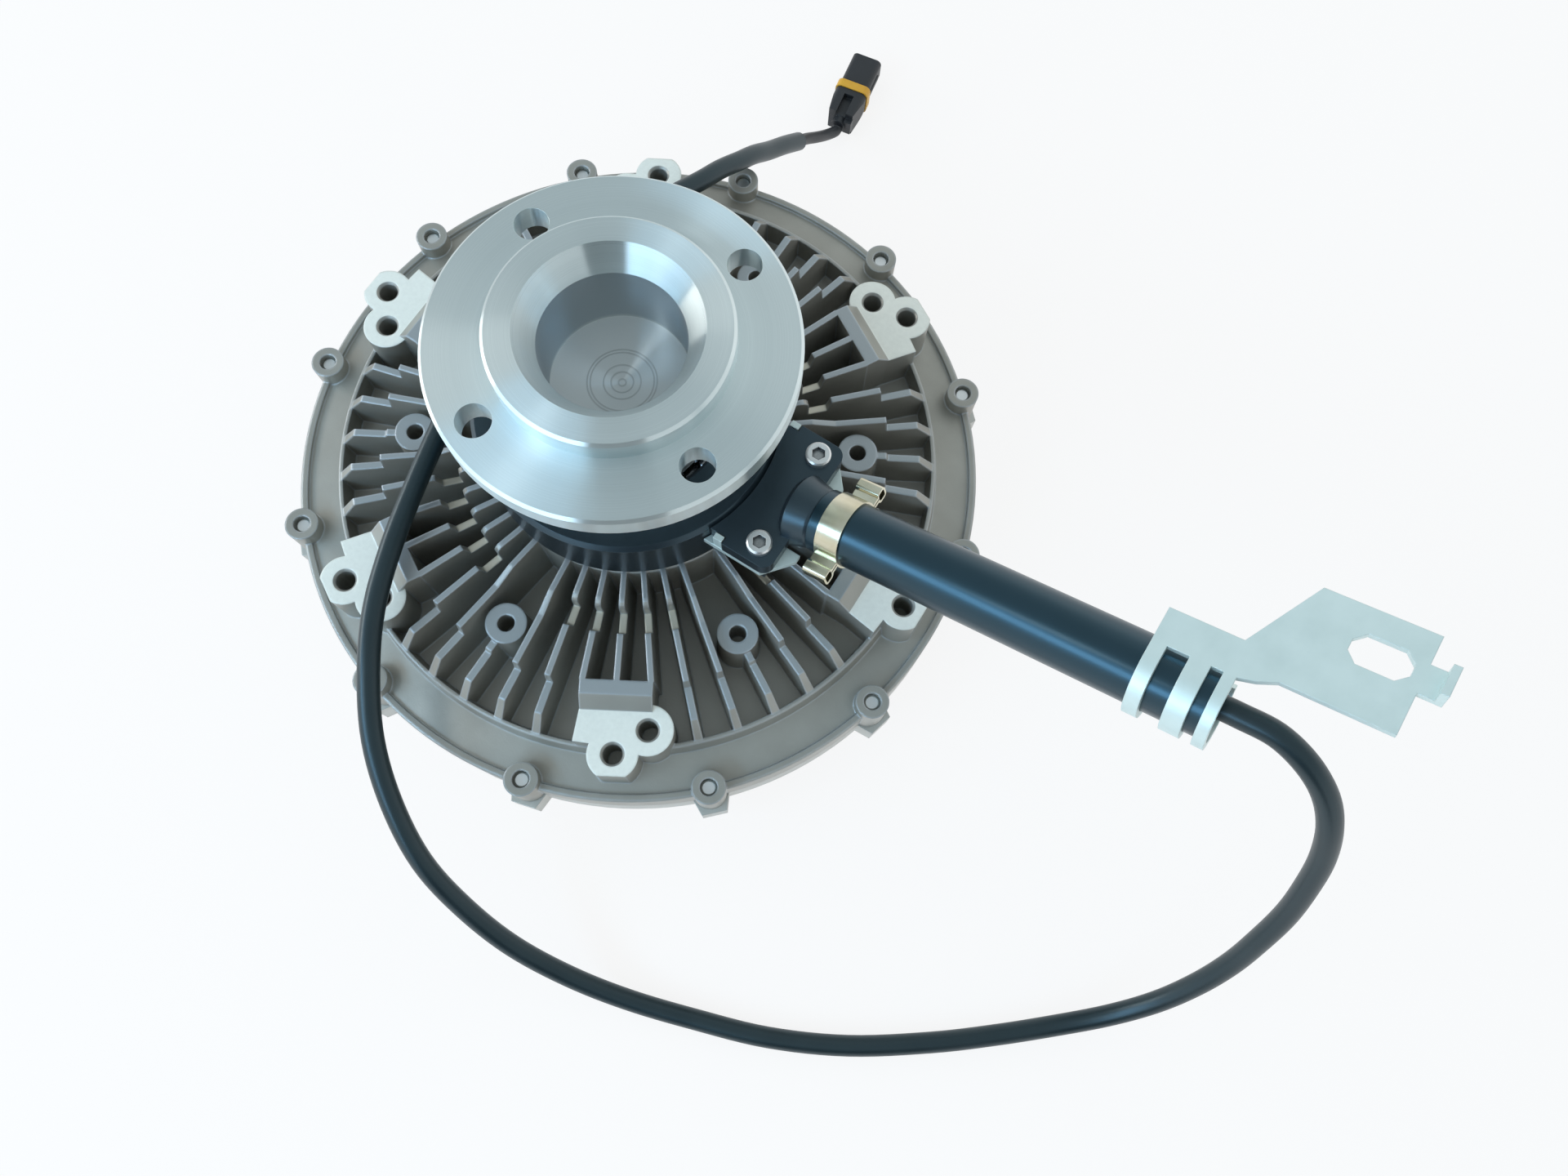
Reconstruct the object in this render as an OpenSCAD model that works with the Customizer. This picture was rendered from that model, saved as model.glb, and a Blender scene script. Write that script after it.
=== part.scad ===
// Electronically controlled viscous fan clutch, lying on its front cover with the engine flange up.
// Z is the clutch axis, +Z points to the engine and z = 0 is the face that it rests on.
// The hose of the coil carrier leaves along +X. All sizes are in millimetres.

/* [Engine flange] */
// Radius of the engine flange
flange_r = 57.3; // [54:0.1:65]
// Thickness of the engine flange
flange_t = 9.5; // [7:0.5:14]
// Number of flange bolts
flange_bolts = 4; // [3:1:6]
// Distance from the flange's edge to its bolt circle
flange_bolt_inset = 10.25; // [8:0.05:13]
// Radius of a flange bolt hole
flange_bolt_r = 5.5; // [3:0.1:6]
// Angle of the first flange bolt
flange_bolt_angle = 66; // [0:1:90]
// Flat between the spigot and the flange's bolt holes
spigot_flat = 4.15; // [3:0.05:6]
// Height of the spigot on the flange face
spigot_h = 8.5; // [4:0.5:12]
// Radius of the pilot bore
pilot_r = 22.7; // [18:0.1:24]
// Radius of the lead-in cone at the spigot's top
pilot_mouth_r = 28.4; // [26:0.1:32]
// Depth of the pilot bore below the flange face
pilot_depth = 26; // [15:1:32]
// Radius of the neck under the flange
neck_r = 32; // [30:0.5:36]
// Length of the neck from the coil bearing's shoulder to the flange
neck_len = 41.1; // [34:0.1:55]

/* [Bearings] */
// Bore radius of the main bearing
main_bore_r = 17.5; // [16:0.5:18.5]
// Outer radius of the main bearing
main_out_r = 36; // [34:0.5:38]
// Width of the main bearing
main_w = 17; // [14:0.5:20]
// Ball radius of the main bearing
main_ball_r = 5; // [4:0.25:5.5]
// Number of balls in the main bearing
main_balls_n = 9; // [6:1:12]
// Bore radius of the coil bearing
coil_bore_r = 25; // [23:0.5:26]
// Outer radius of the coil bearing
coil_out_r = 36; // [34:0.5:37]
// Width of the coil bearing
coil_bearing_w = 12; // [10:0.5:15]
// Ball radius of the coil bearing
coil_ball_r = 3; // [2.25:0.25:3.25]
// Number of balls in the coil bearing
coil_balls_n = 18; // [10:1:20]

/* [Housing] */
// Outer radius of the housing rim
rim_r = 126.7; // [110:0.1:145]
// Width of the housing rim outside the working chamber
rim_w = 10.7; // [9:0.1:14]
// Thickness of the rear wall under the fins
rear_wall = 6; // [4:0.5:9]
// Thickness of the housing rim
rim_t = 13.5; // [11:0.5:18]
// Distance from the rim's edge to the circle of the rim screws
rim_screw_inset = 1.7; // [0:0.1:3]
// Number of rim screws
rim_screws_n = 12; // [6:1:12]
// Radius of a rim screw
rim_screw_r = 3; // [2:0.5:3.5]
// Radius of a rim screw boss
rim_boss_r = 6; // [5:0.25:7]
// Height of a rim screw boss above the joint face
rim_boss_h = 19; // [16:0.5:24]
// Distance from the chamber's wall to the finned ring's edge
ring_inset = 6; // [4:0.5:9]
// Wall of the hub tower outside the flux ring
tower_wall = 5; // [4:0.5:8]
// Height of the hub tower over the main bearing
tower_over = 5.5; // [4.5:0.5:9]

/* [Fins] */
// Height of the fins in the middle
fin_mid_h = 24.5; // [21:0.5:26]
// Height of the fins at the outer end
fin_out_h = 17.5; // [12:0.5:19]
// Height of the groove floor that is turned into the fins
groove_h = 18.5; // [14:0.5:19.5]
// Half thickness of a fin at its root
fin_root_t = 2; // [1.6:0.1:2.4]
// Half thickness of a fin at its top
fin_top_t = 0.95; // [0.7:0.05:1.5]

/* [Fan mounting] */
// Distance from the finned ring's edge to the circle of the outer fan bolts
fan_outset = 2.4; // [1:0.1:4]
// Distance between the circles of the outer and the inner fan bolts
fan_step = 7.9; // [7:0.1:9]
// Angle from an outer fan bolt to its inner one
fan_inner_angle = 6.24; // [5.5:0.01:7]
// Height of the fan pads above the fin floor
pad_h = 19.6; // [17.5:0.1:22]
// Tapping radius of a fan bolt hole
fan_hole_r = 3.4; // [2.5:0.1:4]
// Depth of a fan bolt hole
fan_hole_depth = 16; // [10:1:18]
// Gap between a drilled boss and the step of the fins
boss_gap = 3.4; // [2:0.1:5]
// Radius of a drilled boss
boss_r = 7.2; // [6:0.1:8]
// Height of the drilled bosses above the fin floor
boss_h = 20.6; // [17:0.1:23]
// Radius of the hole in a drilled boss
boss_hole_r = 3; // [2:0.1:4]

/* [Front cover] */
// Height of the front fins
cover_fin_h = 11; // [8:0.5:16]
// Thickness of the cover's plate
cover_wall = 6; // [5:0.5:8]
// Height of the joint face above the chamber floor
joint_up = 12; // [11.5:0.5:14]
// Number of front fins
cover_fins_n = 36; // [18:1:48]
// Radius of the reservoir in the cover
reservoir_r = 42; // [36:0.5:44]
// Thickness of the reservoir plate
reservoir_plate_t = 1.5; // [1:0.1:2.5]
// Reach of a screw lug past the circle of the rim screws
lug_reach = 7.4; // [6:0.1:10]

/* [Rotor] */
// Gap between the rotor's edge and the chamber's wall
rotor_side = 4; // [2:0.5:6]
// Thickness of the rotor's disc
rotor_t = 8; // [7.5:0.5:9]
// Radius of the rotor's boss
rotor_boss_r = 46; // [45.5:0.5:48]
// Height of the interleaved lands on the rotor
land_h = 6; // [5:0.25:6.5]
// Thickness of a land
land_t = 2.6; // [2:0.1:3]
// Radial pitch of the lands
land_pitch = 8; // [7:0.1:8.1]
// Number of lands on the rotor
rotor_lands_n = 6; // [3:1:6]
// Gap between the rotor's lands and the chamber's roof
land_clear = 2; // [1.5:0.1:3]
// Travel of the valve armature
valve_travel = 1.5; // [0.8:0.1:1.8]

/* [Coil carrier] */
// Width of the coil's winding
winding_w = 5.5; // [4:0.1:8]
// Height of the coil housing
coil_h = 24.2; // [22.5:0.1:30]
// Distance from a screw of the lead block to the block's side
block_edge = 6.5; // [5.5:0.1:9]
// Reach of the lead block past the coil housing
block_len = 18.9; // [16.5:0.1:22]
// Thickness of the lead block over the anchor plate
block_t = 6.7; // [5.5:0.1:9]
// Thickness of the anchor plate
anchor_t = 3; // [2:0.25:4]

/* [Tether] */
// Outer radius of the hose
hose_r = 10.75; // [9.5:0.05:11.5]
// Bore radius of the hose
hose_bore_r = 8; // [7:0.1:8.5]
// Length of the hose
hose_len = 132.5; // [120:0.5:150]
// Angle at which the hose rises
hose_rise = 18; // [10:0.5:20]
// Width of the clamp's band
clamp_w = 8.5; // [6:0.5:11]
// Thickness of the bracket
bracket_t = 2.2; // [1.5:0.1:3]
// Length of the slot in the bracket
slot_len = 16; // [13:0.5:19]
// Width of the slot in the bracket
slot_w = 9.5; // [7:0.5:12]

/* [Cable] */
// Radius of the cable's sheath
cable_r = 3.75; // [3.5:0.05:3.75]
// Radius of the bundle of cores
cores_r = 2.4; // [1.8:0.1:2.8]
// Width of the connector
connector_w = 13.5; // [11:0.5:15]
// Height of the connector
connector_h = 11; // [10:0.5:12]

/* [Hidden] */
$fn = 96;
// Running gap between a turning piece and its guide
run_gap = 0.05;
// Gap between two pieces of one body that seat on each other
seat_gap = 0.02;
// Gap round the reservoir plate
plate_gap = 0.1;
// Overlap that joins the shapes of one casting
sink = 1;
// Extra length of a cut past a face
past = 1;
sectors = 6;
sector_angle = 360 / sectors;
fins_per_sector = 8;
fin_pitch = sector_angle / fins_per_sector;

// Radii that follow from the rim
chamber_r = rim_r - rim_w;
ring_r = chamber_r - ring_inset;
rotor_r = chamber_r - rotor_side;
rim_screw_circle_r = rim_r - rim_screw_inset;
lug_out_r = rim_screw_circle_r + lug_reach;
fan_outer_r = ring_r + fan_outset;
fan_inner_r = fan_outer_r - fan_step;

// Levels of the two castings and the rotor, from the resting face upwards
rotor_gap = 2;
z_plate = cover_fin_h;
z_chamber = z_plate + cover_wall;
z_rotor = z_chamber + rotor_gap;
z_web = z_rotor + rotor_t;
z_land_tip = z_web + land_h;
z_joint = z_chamber + joint_up;
z_roof = z_land_tip + land_clear;
z_floor = z_roof + rear_wall;
z_lip = z_joint + rim_t;
z_rim_boss = z_joint + rim_boss_h;
cover_rim_t = 13;
lug_step = 0.8;
z_cover_rim = z_joint - cover_rim_t;
z_lug = z_cover_rim + lug_step;

// Levels in the hub tower
roof_recess = valve_travel + 1;
shoulder_t = 2.5;
seal_w = 5.8;
circlip_t = 1.8;
circlip_depth = 2;
z_recess = z_roof + roof_recess;
z_seal = z_recess + shoulder_t;
z_main = z_seal + seal_w + 0.2;
z_main_top = z_main + main_w;
z_tower = z_main_top + tower_over;
fin_in_h = z_tower - z_floor;
recess_r = rotor_boss_r + 4;
shoulder_r = main_out_r - 4;
flux_in_r = main_out_r + 5;
flux_out_r = flux_in_r + 5;
tower_r = flux_out_r + tower_wall;
flux_proud = 1;
flux_depth = 20.5;
z_flux = z_tower - flux_depth;
z_flux_top = z_tower + flux_proud;

// Levels of the coil carrier
coil_gap = 2.5;
coil_foot = 4;
coil_race_lip = 2.5;
z_coil = z_flux_top + coil_gap;
z_coil_bearing = z_coil + coil_foot;
z_coil_shoulder = z_coil_bearing + coil_bearing_w;
z_coil_top = z_coil + coil_h;
z_anchor_top = z_coil_top - block_t;
z_anchor = z_anchor_top - anchor_t;
shelf_t = 8.5;
z_shelf = z_anchor - shelf_t;

// Levels of the hub shaft
z_flange = z_coil_shoulder + neck_len;
z_face = z_flange + flange_t;
z_spigot = z_face + spigot_h;
shaft_mid_r = main_bore_r + 4.5;
shaft_shoulder_r = coil_bore_r + 3;
edge = 1;
flange_bolt_circle_r = flange_r - flange_bolt_inset;
spigot_r = flange_bolt_circle_r - flange_bolt_r - spigot_flat;
neck_fillet = min(8, flange_bolt_circle_r - flange_bolt_r - neck_r - edge);
flange_foot = 0.5;

// Sizes of the rotor and its valve
z_stub = z_web + 1;
stub_r = 14;
bolt_r = 6;
bolt_head_r = 8.5;
bolt_head_h = 5;
bolt_len = 26;
z_bolt_seat = z_rotor + bolt_head_h + 0.5;
land_edge = 6;
land_first_r = rotor_r - land_edge - (rotor_lands_n - 1) * land_pitch;
spacer_r = main_bore_r + 3.5;
armature_t = 2;
armature_r = rotor_boss_r - 2;
z_armature = z_land_tip + 0.3;
z_armature_top = z_armature + armature_t;
spring_h = valve_travel + 1.2;
spring_t = 0.6;
spring_w = 4;
spring_waves = 4;
spring_gap = 0.05;
z_spring_ring = z_armature_top + spring_h;
spring_ring_t = 1;
spring_ring_depth = 1.6;
fill_port_r = 3;
fill_port_circle_r = reservoir_r - 8;
reservoir_plate_r = reservoir_r + 6;

// Rim, ring and seal sizes
lip_w = 2.6;
lip_h = 1.4;
lip_edge = 0.6;
ring_top_w = 1.6;
ring_h = 9.8;
ring_draft = 1;
ring_edge = 0.4;
rim_slope = 2.5;
seal_groove_w = 3;
seal_groove_depth = 2.2;
seal_cord_r = 1.08;
seal_circle_r = (chamber_r + rim_screw_circle_r - rim_screw_r) / 2;
screw_head_r = 5;
screw_head_h = 6;
screw_socket_r = 2.8;
screw_socket_h = 3;
screw_short = 2;
screw_tip = 0.8;

// Fin profile radii
groove_in_r = tower_r + 12.5;
groove_out_r = groove_in_r + 8.5;
fin_step_r = ring_r - 19.5;
fin_slope_len = 6;
fin_end_r = ring_r - ring_top_w + 0.4;
boss_circle_r = fin_step_r - boss_gap - boss_r;
boss_fin_h = boss_h - 1.5;

// Fan pad sizes, in the pad's own frame with X along the radius
pad_in_r = fan_inner_r - 7.3;
pad_out_r = fan_outer_r + 7.4;
pad_lobe_r = 8.8;
pad_ridge_in_r = pad_in_r - 9.2;
pad_ridge_out_r = pad_in_r - 4.2;
pad_half_angle = 7.3;
pad_chamfer = 0.8;

// Coil, with its steel channel inside the moulding
yoke_wall = 2.5;
yoke_in_r = coil_out_r + 3;
yoke_out_r = yoke_in_r + 2 * yoke_wall + winding_w;
yoke_h = coil_h - 5.2;
winding_gap = 0.1;
cap_t = 1.5;
coil_r = yoke_out_r + 2.6;

// Lead block, anchor plate and screws
block_reach = coil_r + block_len;
block_corner_r = 4;
block_gap = 0.3;
block_screw_x = block_reach - 7.3;
block_screw_r = 2.5;
block_head_r = 4.25;
block_head_h = 2.6;
block_head_edge = 0.6;
block_socket_r = 2.4;
block_socket_h = 1.8;
neck_back = 3.5;
neck_back_r = hose_r + 1.5;
neck_screw_gap = 1.5;
block_screw_pitch = 2 * (neck_back_r + neck_screw_gap + block_head_r);
block_w = block_screw_pitch + 2 * block_edge;
tab_w = 3.2;
tab_t = 2;
tab_x = coil_r - 2.1;
tab_y = block_w / 2 - 0.2;
tab_over = 0.5;
shelf_reach = block_reach - 2.5;
shelf_w = block_w - 5;
anchor_reach = block_reach + 5;
anchor_notch = hose_r + 1.6;
anchor_tip_w = 2 * anchor_notch + 5;
sensor_r = 4;
sensor_x = block_reach - 10;
sensor_stick = 5;

// Hose frame: the axis starts over the lead block and rises along +X
hose_x = block_reach - 1;
hose_z = z_coil_top - 2.2;
hose_start = 7;
hose_end = hose_start + hose_len;
spigot_len = 19;
barb_r = hose_bore_r - seat_gap;
lead_clear = 0.4;
lead_start = (z_anchor_top + lead_clear + cable_r * cos(hose_rise) - hose_z) / sin(hose_rise);
lead_end_gap = 0.2;
clamp_mid = 15.5;
clamp_t = 0.8;
ear_reach = hose_r + 7.9;
ear_h = 5.2;
ear_w = 4.6;
ear_neck_w = 2.6;
ear_slit = 0.6;

// Bracket, in the hose frame with X along the hose and Y across it
strap_in_r = hose_r + 0.1;
strap_wrap = 235;
bracket_x = hose_end - 22.5;
strap_starts = [0, 11, 20.5];
strap_widths = [4.5, 6, 3.5];
strap_y = 4.7;
shoe_len = 24;
shoe_y = 15.6;
head_x = 33;
head_len = 31;
head_low_y = 8.5;
head_high_y = 39;
neck_top_x = 21.5;
slot_x = head_x + 20;
slot_y = 26.7;
slot_cut = 3;
tab_low_y = 21.3;
tab_high_y = 30.2;
tab_len = 6.5;
tab_lip_h = 8;

// Connector, in its own frame with X from the cable to the mating face
connector_angle = 99.5;
connector_place = [-28.2, 192.2];
collar_more = 2;
connector_z = (connector_h + collar_more) / 2 + 0.1;
back_len = 16;
collar_len = 3.8;
connector_front = 15.9;
relief_len = 3;
relief_r = 3.4;
back_taper = 1.6;
back_swell = 0.5;
back_straight = 3;
back_slot_w = 4.4;
back_slot_h = 2.4;
back_tab_w = 2.4;
back_tab_len = 4.5;
cores_straight = 3;
cores_gap = 0.85;
terminal_pitch = 2;
terminal_w = 1.4;
terminal_depth = 6;

// Route of the cable: out of the hose, down to the surface, round the clutch and up over its rim
cable_out = 6;
cable_route = concat(
    [hose_point(hose_end), hose_point(hose_end + cable_out)],
    [
        [219, 0, 141], [230, -2, 139], [240, -5, 133], [248, -9, 124], [255, -14, 111], [260, -20, 97],
        [264, -27, 82], [266, -35, 67], [267, -44, 51], [265, -54, 37], [260, -65, 24], [251, -77, 13],
        [238, -90, 6], [222, -104, 4], [203, -119, 4], [178, -136, 4], [152, -149, 4], [126, -158, 4],
        [102, -165, 6], [80, -169, 12], [58, -170, 22], [38, -167, 34], [20, -161, 46], [3, -150, 57],
        [-12, -136, 66], [-25, -119, 71], [-36, -101, 73], [-44, -81, 74], [-50, -60, 75], [-55, -39, 76],
        [-60, -16, 76], [-62, 8, 76], [-59, 32, 76], [-54, 52, 75], [-48, 71, 73], [-43, 87, 70],
        [-39, 101, 66], [-37, 112, 62], [-35, 122, 57], [-34, 131, 51.5], [-33, 141, 43.5], [-32, 152, 35.5],
        [-31, 162, 27.5]
    ]
);
// Route of the bare cores from the sheath's end to the connector
cores_route = [
    [-31, 162.3, 27.3], [-31, 169, 21.5], [-30, 176, 15.5], [-29, 183, 10], connector_point(-cores_straight),
    connector_point(-cores_gap)
];

// Point on the hose's axis at a distance from the hose frame's start
function hose_point(s) = [hose_x + s * cos(hose_rise), 0, hose_z + s * sin(hose_rise)];

// Point on the connector's axis at a distance from its cable end
function connector_point(x) = [
    connector_place[0] + x * cos(connector_angle), connector_place[1] + x * sin(connector_angle), connector_z
];

// Points on an arc, from one angle to another
function arc_points(centre, r, from, to, steps) =
    [for (i = [0:steps]) let (a = from + (to - from) * i / steps) centre + r * [cos(a), sin(a)]];

// Point on the smooth curve through a route, between point i and the next one
function route_point(route, i, t) =
    let (
        last = len(route) - 1,
        a = route[max(i - 1, 0)],
        b = route[i],
        c = route[min(i + 1, last)],
        d = route[min(i + 2, last)]
    )
    0.5 * (2 * b + (c - a) * t + (2 * a - 5 * b + 4 * c - d) * t * t + (3 * b - a - 3 * c + d) * t * t * t);

// Route with extra points between its own
function smooth_route(route, steps) = concat(
    [for (i = [0:len(route) - 2], j = [0:steps - 1]) route_point(route, i, j / steps)],
    [route[len(route) - 1]]
);

function unit(v) = v / norm(v);

// Direction of a path at its point i
function path_direction(path, i) = unit(path[min(i + 1, len(path) - 1)] - path[max(i - 1, 0)]);

// Square frame across a path, carried from ring to ring without twist
function across(path, i, before) =
    let (d = path_direction(path, i), side = unit(before - (before * d) * d)) side;

function sides_along(path, i = 0, before = [0, 0, 1]) =
    i == len(path) ? [] : let (s = across(path, i, before)) concat([s], sides_along(path, i + 1, s));

// Tube of a given radius along a path
module path_tube(path, r, sides) {
    n = len(path);
    frame = sides_along(path);
    points = [
        for (i = [0:n - 1], k = [0:sides - 1])
            let (d = path_direction(path, i), u = frame[i], v = cross(d, u), a = 360 * k / sides)
            path[i] + r * (cos(a) * u + sin(a) * v)
    ];
    walls = [
        for (i = [0:n - 2], k = [0:sides - 1])
            let (k2 = (k + 1) % sides)
            [i * sides + k, (i + 1) * sides + k, (i + 1) * sides + k2, i * sides + k2]
    ];
    caps = [[for (k = [0:sides - 1]) k], [for (k = [sides - 1:-1:0]) (n - 1) * sides + k]];
    polyhedron(points, concat(walls, caps));
}

// Copies of a shape round the clutch axis
module ring_of(n, r, start = 0) {
    for (i = [0:n - 1]) rotate(start + i * 360 / n) translate([r, 0, 0]) children();
}

// Ring with a square section
module sleeve(r_in, r_out, z, h) {
    rotate_extrude() translate([r_in, z]) square([r_out - r_in, h]);
}

// Rounded rectangle with its corners cut to a radius
module rounded_rect(size, r) {
    translate([-size[0] / 2 + r, -size[1] / 2]) square([size[0] - 2 * r, size[1]]);
    translate([-size[0] / 2, -size[1] / 2 + r]) square([size[0], size[1] - 2 * r]);
    for (x = [-1, 1], y = [-1, 1])
        translate([x * (size[0] / 2 - r), y * (size[1] / 2 - r)]) circle(r);
}

// Slot along X with cut corners
module cut_slot(length, width, cut) {
    x = length / 2;
    y = width / 2;
    polygon([
        [-x, cut - y], [cut - x, -y], [x - cut, -y], [x, cut - y], [x, y - cut], [x - cut, y], [cut - x, y],
        [-x, y - cut]
    ]);
}

// Placing of shapes in the hose's frame, with X along the hose
module in_hose_frame(s = 0) {
    translate(hose_point(s)) rotate([0, -hose_rise, 0]) children();
}

// Solid of revolution about the hose's axis, from a profile of radius against length
module turned_on_hose(s) {
    in_hose_frame(s) rotate([0, 90, 0]) rotate_extrude() children();
}

// Ball groove that is cut into both races of a bearing
module ball_track(track_r, ball_r, z) {
    rotate_extrude() translate([track_r, z]) circle(ball_r + run_gap);
}

module bearing_inner(bore_r, out_r, w, ball_r, z) {
    track_r = (bore_r + out_r) / 2;
    difference() {
        sleeve(bore_r + seat_gap, track_r - 0.65 * ball_r, z, w);
        ball_track(track_r, ball_r, z + w / 2);
    }
}

module bearing_outer(bore_r, out_r, w, ball_r, z) {
    track_r = (bore_r + out_r) / 2;
    difference() {
        sleeve(track_r + 0.65 * ball_r, out_r - seat_gap, z, w);
        ball_track(track_r, ball_r, z + w / 2);
    }
}

module bearing_balls(bore_r, out_r, w, ball_r, z, n) {
    ring_of(n, (bore_r + out_r) / 2) translate([0, 0, z + w / 2]) sphere(ball_r);
}

// Turned steel shaft with the engine flange, spigot, pilot bore and bearing seats
module hub_shaft() {
    color("lightsteelblue") difference() {
        rotate_extrude() polygon([
            [0, z_stub], [stub_r - edge, z_stub], [stub_r, z_stub + edge], [stub_r, z_land_tip],
            [main_bore_r, z_land_tip], [main_bore_r, z_main_top], [shaft_mid_r, z_main_top],
            [shaft_mid_r, z_coil_bearing - 2 * circlip_t], [coil_bore_r, z_coil_bearing - 2 * circlip_t],
            [coil_bore_r, z_coil_shoulder], [shaft_shoulder_r, z_coil_shoulder],
            [shaft_shoulder_r, z_coil_top + edge], [neck_r, z_coil_top + edge + neck_r - shaft_shoulder_r],
            [neck_r, z_face], [spigot_r, z_face], [spigot_r, z_spigot - edge], [spigot_r - edge, z_spigot],
            [pilot_mouth_r, z_spigot], [pilot_r, z_face], [pilot_r, z_face - pilot_depth],
            [0, z_face - pilot_depth - 2]
        ]);
        sleeve(coil_bore_r - circlip_depth, coil_bore_r + past, z_coil_bearing - circlip_t - seat_gap,
            circlip_t + seat_gap);
        translate([0, 0, z_stub - past]) cylinder(r = bolt_r + seat_gap, h = bolt_len + past);
    }
}

// Flange with its bolt holes and a filleted foot, pushed up the neck against the spigot
module engine_flange() {
    bore = neck_r + seat_gap;
    color("lightsteelblue") difference() {
        rotate_extrude() polygon([
            [bore, z_flange - neck_fillet], [neck_r + flange_foot, z_flange - neck_fillet],
            [neck_r + 0.3 * neck_fillet, z_flange - 0.3 * neck_fillet], [neck_r + neck_fillet, z_flange],
            [flange_r - edge, z_flange], [flange_r, z_flange + edge], [flange_r, z_face - edge],
            [flange_r - edge, z_face], [bore, z_face]
        ]);
        ring_of(flange_bolts, flange_bolt_circle_r, flange_bolt_angle)
            translate([0, 0, z_flange - past]) cylinder(r = flange_bolt_r, h = flange_t + 2 * past);
    }
}

// Rotor with lands that run between those of the housing
module rotor_disc() {
    color("silver") difference() {
        union() {
            sleeve(0, rotor_r, z_rotor, rotor_t);
            sleeve(0, rotor_boss_r, z_rotor, z_land_tip - z_rotor);
            for (i = [0:rotor_lands_n - 1])
                sleeve(land_first_r + i * land_pitch - land_t / 2, land_first_r + i * land_pitch + land_t / 2,
                    z_web - sink, land_h + sink);
        }
        translate([0, 0, z_rotor - past]) cylinder(r = bolt_head_r + 1.5, h = z_bolt_seat - z_rotor + past);
        translate([0, 0, z_rotor]) cylinder(r = bolt_r + 0.3, h = z_land_tip);
        translate([0, 0, z_stub - seat_gap]) cylinder(r = stub_r + seat_gap, h = z_land_tip);
        ring_of(2, fill_port_circle_r) translate([0, 0, z_rotor - past])
            cylinder(r = fill_port_r, h = z_land_tip - z_rotor + 2 * past);
    }
}

// Socket screw that clamps the rotor to the shaft
module rotor_bolt() {
    color("dimgray") difference() {
        union() {
            translate([0, 0, z_bolt_seat - bolt_head_h]) cylinder(r = bolt_head_r, h = bolt_head_h);
            translate([0, 0, z_bolt_seat - sink])
                cylinder(r = bolt_r, h = z_stub - z_bolt_seat + bolt_len - 4);
        }
        translate([0, 0, z_bolt_seat - bolt_head_h - past]) cylinder(r = 5.2, h = 3 + past, $fn = 6);
    }
}

// Sleeve between the rotor and the main bearing: the seal and the armature run on it
module spacer_sleeve() {
    color("silver") difference() {
        sleeve(main_bore_r + seat_gap, spacer_r, z_land_tip, z_main - z_land_tip);
        sleeve(spacer_r - spring_ring_depth, spacer_r + past, z_spring_ring, spring_ring_t + seat_gap);
    }
}

module main_bearing_inner() {
    color("gainsboro") bearing_inner(main_bore_r, main_out_r, main_w, main_ball_r, z_main);
}

module coil_bearing_inner() {
    color("gainsboro") bearing_inner(coil_bore_r, coil_out_r, coil_bearing_w, coil_ball_r, z_coil_bearing);
}

// Split ring that holds the coil bearing on the shaft
module coil_circlip() {
    color("dimgray") difference() {
        sleeve(coil_bore_r - circlip_depth + seat_gap, coil_bore_r + 2, z_coil_bearing - circlip_t, circlip_t);
        translate([0, -2, z_coil_bearing - 2 * circlip_t]) cube([coil_out_r, 4, 3 * circlip_t]);
    }
}

// Split ring that the return spring pushes against
module spring_ring() {
    color("dimgray") difference() {
        sleeve(spacer_r - spring_ring_depth + seat_gap, spacer_r + spring_w, z_spring_ring, spring_ring_t);
        translate([0, -1.5, z_spring_ring - past]) cube([main_out_r, 3, spring_ring_t + 2 * past]);
    }
}

// Wave spring: a flat strip whose height follows a cosine round the sleeve
module return_spring() {
    n = 96;
    in_r = spacer_r + 0.4;
    swing = (spring_h - spring_t) / 2 - spring_gap;
    mid = z_armature_top + spring_h / 2;
    points = [
        for (i = [0:n - 1], k = [0:3])
            let (
                a = 360 * i / n,
                r = k == 0 || k == 3 ? in_r : in_r + spring_w - 0.8,
                z = mid + swing * cos(spring_waves * a) + (k < 2 ? -0.5 : 0.5) * spring_t
            )
            [r * cos(a), r * sin(a), z]
    ];
    faces = [
        for (i = [0:n - 1], k = [0:3])
            let (j = (i + 1) % n, m = (k + 1) % 4)
            [i * 4 + k, i * 4 + m, j * 4 + m, j * 4 + k]
    ];
    color("slategray") polyhedron(points, faces);
}

// Steel ring that the coil lifts from the fill ports
module valve_armature() {
    color("slategray") difference() {
        sleeve(spacer_r + run_gap, armature_r, z_armature, armature_t);
        ring_of(6, armature_r - 3.5, sector_angle / 2) translate([0, 0, z_armature - past])
            cylinder(r = 2, h = armature_t + 2 * past);
    }
}

// Side profile of a rear fin, as height against radius
function fin_outer_end(step_h) = [
    [fin_step_r, step_h], [fin_step_r + 0.8, fin_out_h], [fin_end_r - fin_slope_len, fin_out_h],
    [fin_end_r, ring_h], [fin_end_r, -sink]
];

function fin_inner_start() = [[tower_r - sink, -sink], [tower_r - sink, fin_in_h]];

function fin_groove() = concat(
    [[groove_in_r - 3, fin_in_h]],
    arc_points([groove_in_r - 3, fin_in_h - 3], 3, 90, 0, 4),
    [[groove_in_r, groove_h], [groove_out_r - 1.5, groove_h], [groove_out_r, fin_mid_h]]
);

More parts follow.
